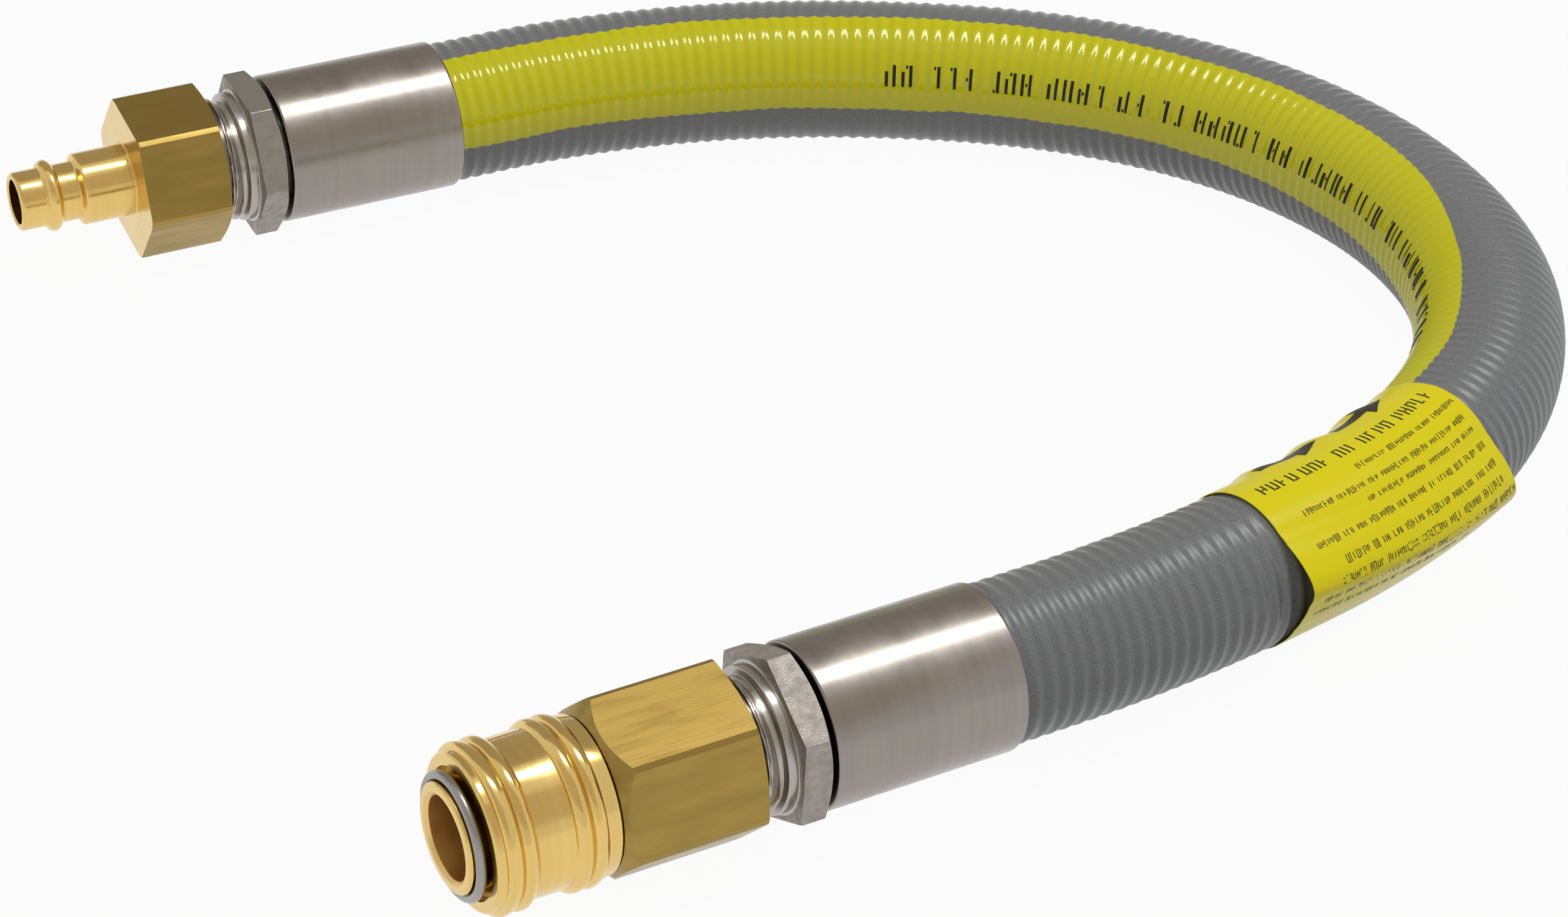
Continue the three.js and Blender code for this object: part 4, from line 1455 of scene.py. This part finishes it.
    def _arrows(self, ink: "Ink") -> None:
        """Draws two plain arrows on the inner side.

        Args:
            ink: takes the marks.
        """
        middle, shaft, tip = self.arrow_angle, 8, 14
        half_shaft, half_head = 5, 14
        for begin in (9.0, 27.0):
            ink.patch(begin, begin + shaft, middle - half_shaft, middle + half_shaft)
            ink.head(begin + shaft, begin + tip, middle, half_head)


class Ink:
    """Flat marks that lie on a curved sheet, whose places are in mm and angles in degrees."""

    def __init__(self, point: Callable[[float, float, float], Point], lift: float = 0.035) -> None:
        """Starts with no mark.

        Args:
            point: gives the sheet's point at a place, an angle and mm above the sheet.
            lift: mm that the marks lie above the sheet.
        """
        self._point = point
        self._lift = lift
        self._vertices: list[Point] = []
        self._faces: list[tuple[int, int, int, int]] = []
        self.count = 0

    def patch(self, s0: float, s1: float, low: float, high: float) -> None:
        """Adds one mark between two places along and two angles."""
        self._grid(lambda u, v: (s0 + (s1 - s0) * u, low + (high - low) * v), s1 - s0, high - low)

    def head(self, s0: float, s1: float, middle: float, half: float) -> None:
        """Adds an arrow's head that narrows from s0 to s1."""
        self._grid(lambda u, v: (s0 + (s1 - s0) * u, middle + half * (1 - u) * (2 * v - 1)),
                   s1 - s0, 2 * half)

    def mark(self, s: float, middle: float, wide: float, high: float, stroke: float,
             draw: random.Random) -> None:
        """Adds one mark of plain strokes that don't touch: uprights, and a dash between them.

        Args:
            s: mm along to its near side.
            middle: degrees to its middle.
            wide: its width in mm.
            high: its height in degrees.
            stroke: its stroke's width in mm.
            draw: picks its form.
        """
        low, top = middle - high / 2, middle + high / 2
        # The stroke's width in degrees, on a sheet 12.3 mm from the middle line
        dash = stroke / 12.3 * 57.3
        space = 1.4 * stroke
        self.patch(s, s + stroke, low, top)
        form = draw.random()
        if form < 0.7:
            self.patch(s + wide - stroke, s + wide, low + draw.choice((0, 0.3)) * high, top)
        if form > 0.25:
            level = draw.choice((low, middle - dash / 2, top - dash))
            self.patch(s + space, s + wide - space, level, level + dash)

    def _grid(self, place: Callable[[float, float], tuple[float, float]], wide: float,
              high: float) -> None:
        """Adds a patch of quads, at most 1 mm long and 5 degrees high.

        Args:
            place: gives the place and angle at two shares of the patch.
            wide: its length in mm.
            high: its height in degrees.
        """
        across, round_it = max(1, math.ceil(wide / 1.0)), max(1, math.ceil(high / 5))
        base = len(self._vertices)
        for i in range(across + 1):
            for j in range(round_it + 1):
                s, degrees = place(i / across, j / round_it)
                self._vertices.append(self._point(s, degrees, self._lift))
        for i in range(across):
            for j in range(round_it):
                a = base + i * (round_it + 1) + j
                self._faces.append((a, a + 1, a + round_it + 2, a + round_it + 1))
        self.count += 1

    def build(self, name: str, material: bpy.types.Material) -> bpy.types.Object:
        """Makes one object of the marks.

        Args:
            name: the object's name.
            material: their finish.

        Returns:
            The marks as one object.
        """
        obj = add_mesh(name, self._vertices, self._faces)
        obj.data.shade_smooth()
        obj.data.materials.append(material)
        return obj


@dataclass
class HosePrint:
    """The line of marks printed on the stripe, in mm along the hose and degrees round it."""

    hose: Hose
    start: float = 118.0
    end: float = 279.0
    angle: float = 157.0
    wide: float = 2.0
    high: float = 18.0
    pitch: float = 3.05
    word_gap: float = 0.7
    stroke: float = 0.58
    lift: float = 0.05
    seed: int = 5

    def point(self, s: float, degrees: float, lift: float) -> Point:
        """Returns the point in metres that lies this many mm above the ribbed skin."""
        radius = (self.hose.skin(s) + lift) * MM
        return self.hose.route.surface(s * MM, math.radians(degrees), radius)

    def build(self, palette: Palette) -> bpy.types.Object:
        """Makes the marks, with gaps between groups as between words.

        Args:
            palette: the finishes.

        Returns:
            The marks as one object.
        """
        ink = Ink(self.point, self.lift)
        draw = random.Random(self.seed)
        s = self.start
        while s < self.end:
            for _ in range(draw.randint(2, 7)):
                if s < self.end:
                    ink.mark(s, self.angle, self.wide, self.high, self.stroke, draw)
                s += self.pitch
            s += self.pitch * self.word_gap
        obj = ink.build("hose_print", palette.ink)
        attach(obj, "hose")
        log.info("hose_print: %d marks on the stripe", ink.count)
        return obj


@dataclass
class ValveSpring:
    """The coil spring behind the valve, which shortens as a plug pushes the valve in."""

    front: float = 23.2
    rear: float = 32.3
    coil_r: float = 4.4
    wire_r: float = 0.4
    turns: float = 3.5
    travel: float = 6.0
    steps_a_turn: int = 32
    sides: int = 12

    def build(self, palette: Palette) -> None:
        """Winds the wire.

        Args:
            palette: the finishes.
        """
        steps, sides = round(self.turns * self.steps_a_turn), self.sides
        first, last = self.front + self.wire_r, self.rear - self.wire_r
        rows = []
        for i in range(steps + 1):
            turn = 2 * math.pi * self.turns * i / steps
            out = Vector((0, math.cos(turn), math.sin(turn)))
            middle = Vector((first + (last - first) * i / steps, 0, 0)) + out * self.coil_r
            row = []
            for j in range(sides):
                angle = 2 * math.pi * j / sides
                reach = out * math.cos(angle) - Vector((math.sin(angle), 0, 0))
                row.append((middle + reach * self.wire_r) * MM)
            rows.append(row)
        caps = [list(range(sides))[::-1], list(range(steps * sides, (steps + 1) * sides))]
        obj = add_grid("valve_spring", rows, True, False, caps=caps)
        obj.matrix_world = End.COUPLER.matrix()
        stand_for(obj, "valve_spring", "hose", palette.spring_steel)
        End.COUPLER.on_axis(self.rear)
        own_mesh(obj)
        log.info("valve_spring: coil that shortens with the valve")


@dataclass
class HiddenPieces:
    """The pieces inside the coupler and the hose, which keep their CAD solids."""

    nodes: dict[str, bpy.types.Object]

    def dress(self, palette: Palette) -> None:
        """Gives each inner piece its finish.

        Args:
            palette: the finishes.
        """
        finishes = {
            "valve_plunger": palette.polished_brass,
            "valve_seal": palette.rubber,
            "plug_seal": palette.rubber,
            "body_seal": palette.rubber,
            "hose_liner": palette.rubber,
            "sleeve_spring": palette.spring_steel,
        }
        for i in range(Coupler.ball_count):
            finishes[f"locking_ball_{i + 1}"] = palette.spring_steel
        for name, material in finishes.items():
            mesh = self.nodes[name].data
            mesh.materials.clear()
            mesh.materials.append(material)
        log.info("inner pieces: %d dressed", len(finishes))


@dataclass(frozen=True)
class Card:
    """A sloping card for the metal to reflect, which no view of the object shows.

    Args:
        name: the card's name.
        low: metres ahead of the table's middle and height of its lower edge.
        high: the same for its upper edge.
        colour: its sRGB colour, as the room's own light leaves it.
        wide: its width in metres.
    """

    name: str
    low: tuple[float, float]
    high: tuple[float, float]
    colour: str
    wide: float = 2.4

    def build(self, ahead: Vector) -> None:
        """Stands the card.

        Args:
            ahead: the level direction in which the camera looks.
        """
        across = Vector((ahead.y, -ahead.x)) * self.wide / 2
        corners = []
        for (reach, height), side in ((self.low, -1), (self.low, 1), (self.high, 1),
                                      (self.high, -1)):
            spot = ahead * reach + across * side
            corners.append((spot.x, spot.y, height))
        card = add_mesh(self.name, corners, [(0, 1, 2, 3)])
        card.visible_camera = False
        card.visible_shadow = False
        g = Graph(bpy.data.materials.new(f"painted_{self.name}"))
        g.add("OutputMaterial", Surface=g.add("Emission", Color=linear(self.colour)))
        card.data.materials.append(g.owner)


@dataclass
class Studio:
    """Camera, lamp, cards, table and white surroundings, in metres, degrees and watts."""

    lens: float = 112.157
    sensor: float = 36.0
    place: Point = (-0.26344, -0.58462, 0.40758)
    pitch: float = 57.915
    heading: float = -28.95
    floor_half: float = 3.0
    floor_glow: float = 0.95
    floor_grey: float = 0.55
    room_light: float = 0.45
    softbox: tuple[float, float] = (0.85, 0.2)
    softbox_place: Point = (0.53, -0.082, 1.18)
    softbox_watts: float = 6.9
    cards: tuple[Card, ...] = (
        Card("dim_room", (-1.05, 0.42), (-0.38, 1.10), "#cdc5ba"),
        Card("pale_wall", (1.1, 0.1), (0.4, 1.15), "#b0aaa1"),
    )

    def build(self) -> None:
        """Sets up the whole studio."""
        self._camera()
        self._world()
        self._floor()
        self._overhead_softbox()
        heading = math.radians(self.heading)
        for card in self.cards:
            card.build(Vector((-math.sin(heading), math.cos(heading))))
        bpy.context.scene.view_settings.view_transform = "Standard"
        log.info("studio ready")

    def _camera(self) -> None:
        """Sets the camera where the photograph was taken from."""
        data = bpy.data.cameras.new("camera")
        data.sensor_width = self.sensor
        data.lens = self.lens
        data.clip_start, data.clip_end = 0.01, 20
        camera = add_object("camera", data)
        camera.location = self.place
        camera.rotation_euler = (math.radians(self.pitch), 0, math.radians(self.heading))
        bpy.context.scene.camera = camera

    def _world(self) -> None:
        """Makes surroundings that look white and light the object less than that."""
        world = bpy.data.worlds.new("white_surroundings")
        bpy.context.scene.world = world
        g = Graph(world)
        strength = g.add("MapRange", Value=seen_white(g), To_Min=self.room_light)
        g.add("OutputWorld", Surface=g.add("Background", Strength=strength))

    def _floor(self) -> None:
        """Makes a table that keeps the shadow and shows white to the camera and to metal."""
        half = self.floor_half
        corners = [(-half, -half, 0), (half, -half, 0), (half, half, 0), (-half, half, 0)]
        floor = add_mesh("table_top", corners, [(0, 1, 2, 3)])
        g = Graph(bpy.data.materials.new("white_table"))
        share = g.add("Math", MULTIPLY, i0=seen_white(g), i1=self.floor_glow)
        matte = g.add("BsdfDiffuse", Color=(*[self.floor_grey] * 3, 1))
        both = g.add("MixShader", i0=share, i1=matte, i2=g.add("Emission", Strength=1.0))
        g.add("OutputMaterial", Surface=both)
        floor.data.materials.append(g.owner)

    def _overhead_softbox(self) -> None:
        """Hangs one softbox over the table, which draws the bright line along every tube."""
        data = bpy.data.lights.new("overhead_softbox", "AREA")
        data.shape = "RECTANGLE"
        data.size, data.size_y = self.softbox
        data.energy = self.softbox_watts
        add_object("overhead_softbox", data).location = self.softbox_place


def hose_route() -> tuple[Route, Vector]:
    """Returns the hose's middle line and the point where it leaves the coupler's ferrule."""
    coupler_out = COUPLER_NIPPLE_AT + FERRULE_AFTER_NIPPLE + FERRULE_LENGTH
    plug_out = PLUG_NIPPLE_AT + FERRULE_AFTER_NIPPLE + FERRULE_LENGTH
    points = [
        End.COUPLER.on_axis(coupler_out - HOSE_IN_FERRULE),
        End.COUPLER.on_axis(coupler_out + HOSE_STRAIGHT),
        *[Vector(p) for p in HOSE_ROUTE],
        End.PLUG.on_axis(plug_out + HOSE_STRAIGHT),
        End.PLUG.on_axis(plug_out - HOSE_IN_FERRULE),
    ]
    return Route(points), points[0]


def main() -> None:
    """Builds the hose piece by piece."""
    logging.basicConfig(level=logging.INFO, format="%(message)s")
    bpy.ops.wm.read_factory_settings(use_empty=True)
    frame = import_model()
    Studio().build()
    palette = Palette()
    route, start = hose_route()
    label = Label(route, start=LABEL_AFTER_FERRULE + HOSE_IN_FERRULE)
    hose = Hose(route, start)
    on_hose = [*label.build(palette), HosePrint(hose).build(palette)]
    hose.build(palette, [*on_hose, frame["nodes"]["hose_liner"]])
    Coupler().build(palette)
    PlugAdapter().build(palette)
    HexNipple(End.COUPLER, COUPLER_NIPPLE_AT, 25.0, "front_nipple").build(palette)
    HexNipple(End.PLUG, PLUG_NIPPLE_AT, 57.0, "rear_nipple").build(palette)
    Ferrule(End.COUPLER, COUPLER_NIPPLE_AT + FERRULE_AFTER_NIPPLE, "front_ferrule").build(palette)
    Ferrule(End.PLUG, PLUG_NIPPLE_AT + FERRULE_AFTER_NIPPLE, "rear_ferrule").build(palette)
    ValveSpring().build(palette)
    HiddenPieces(frame["nodes"]).dress(palette)


if __name__ == "__main__":
    main()
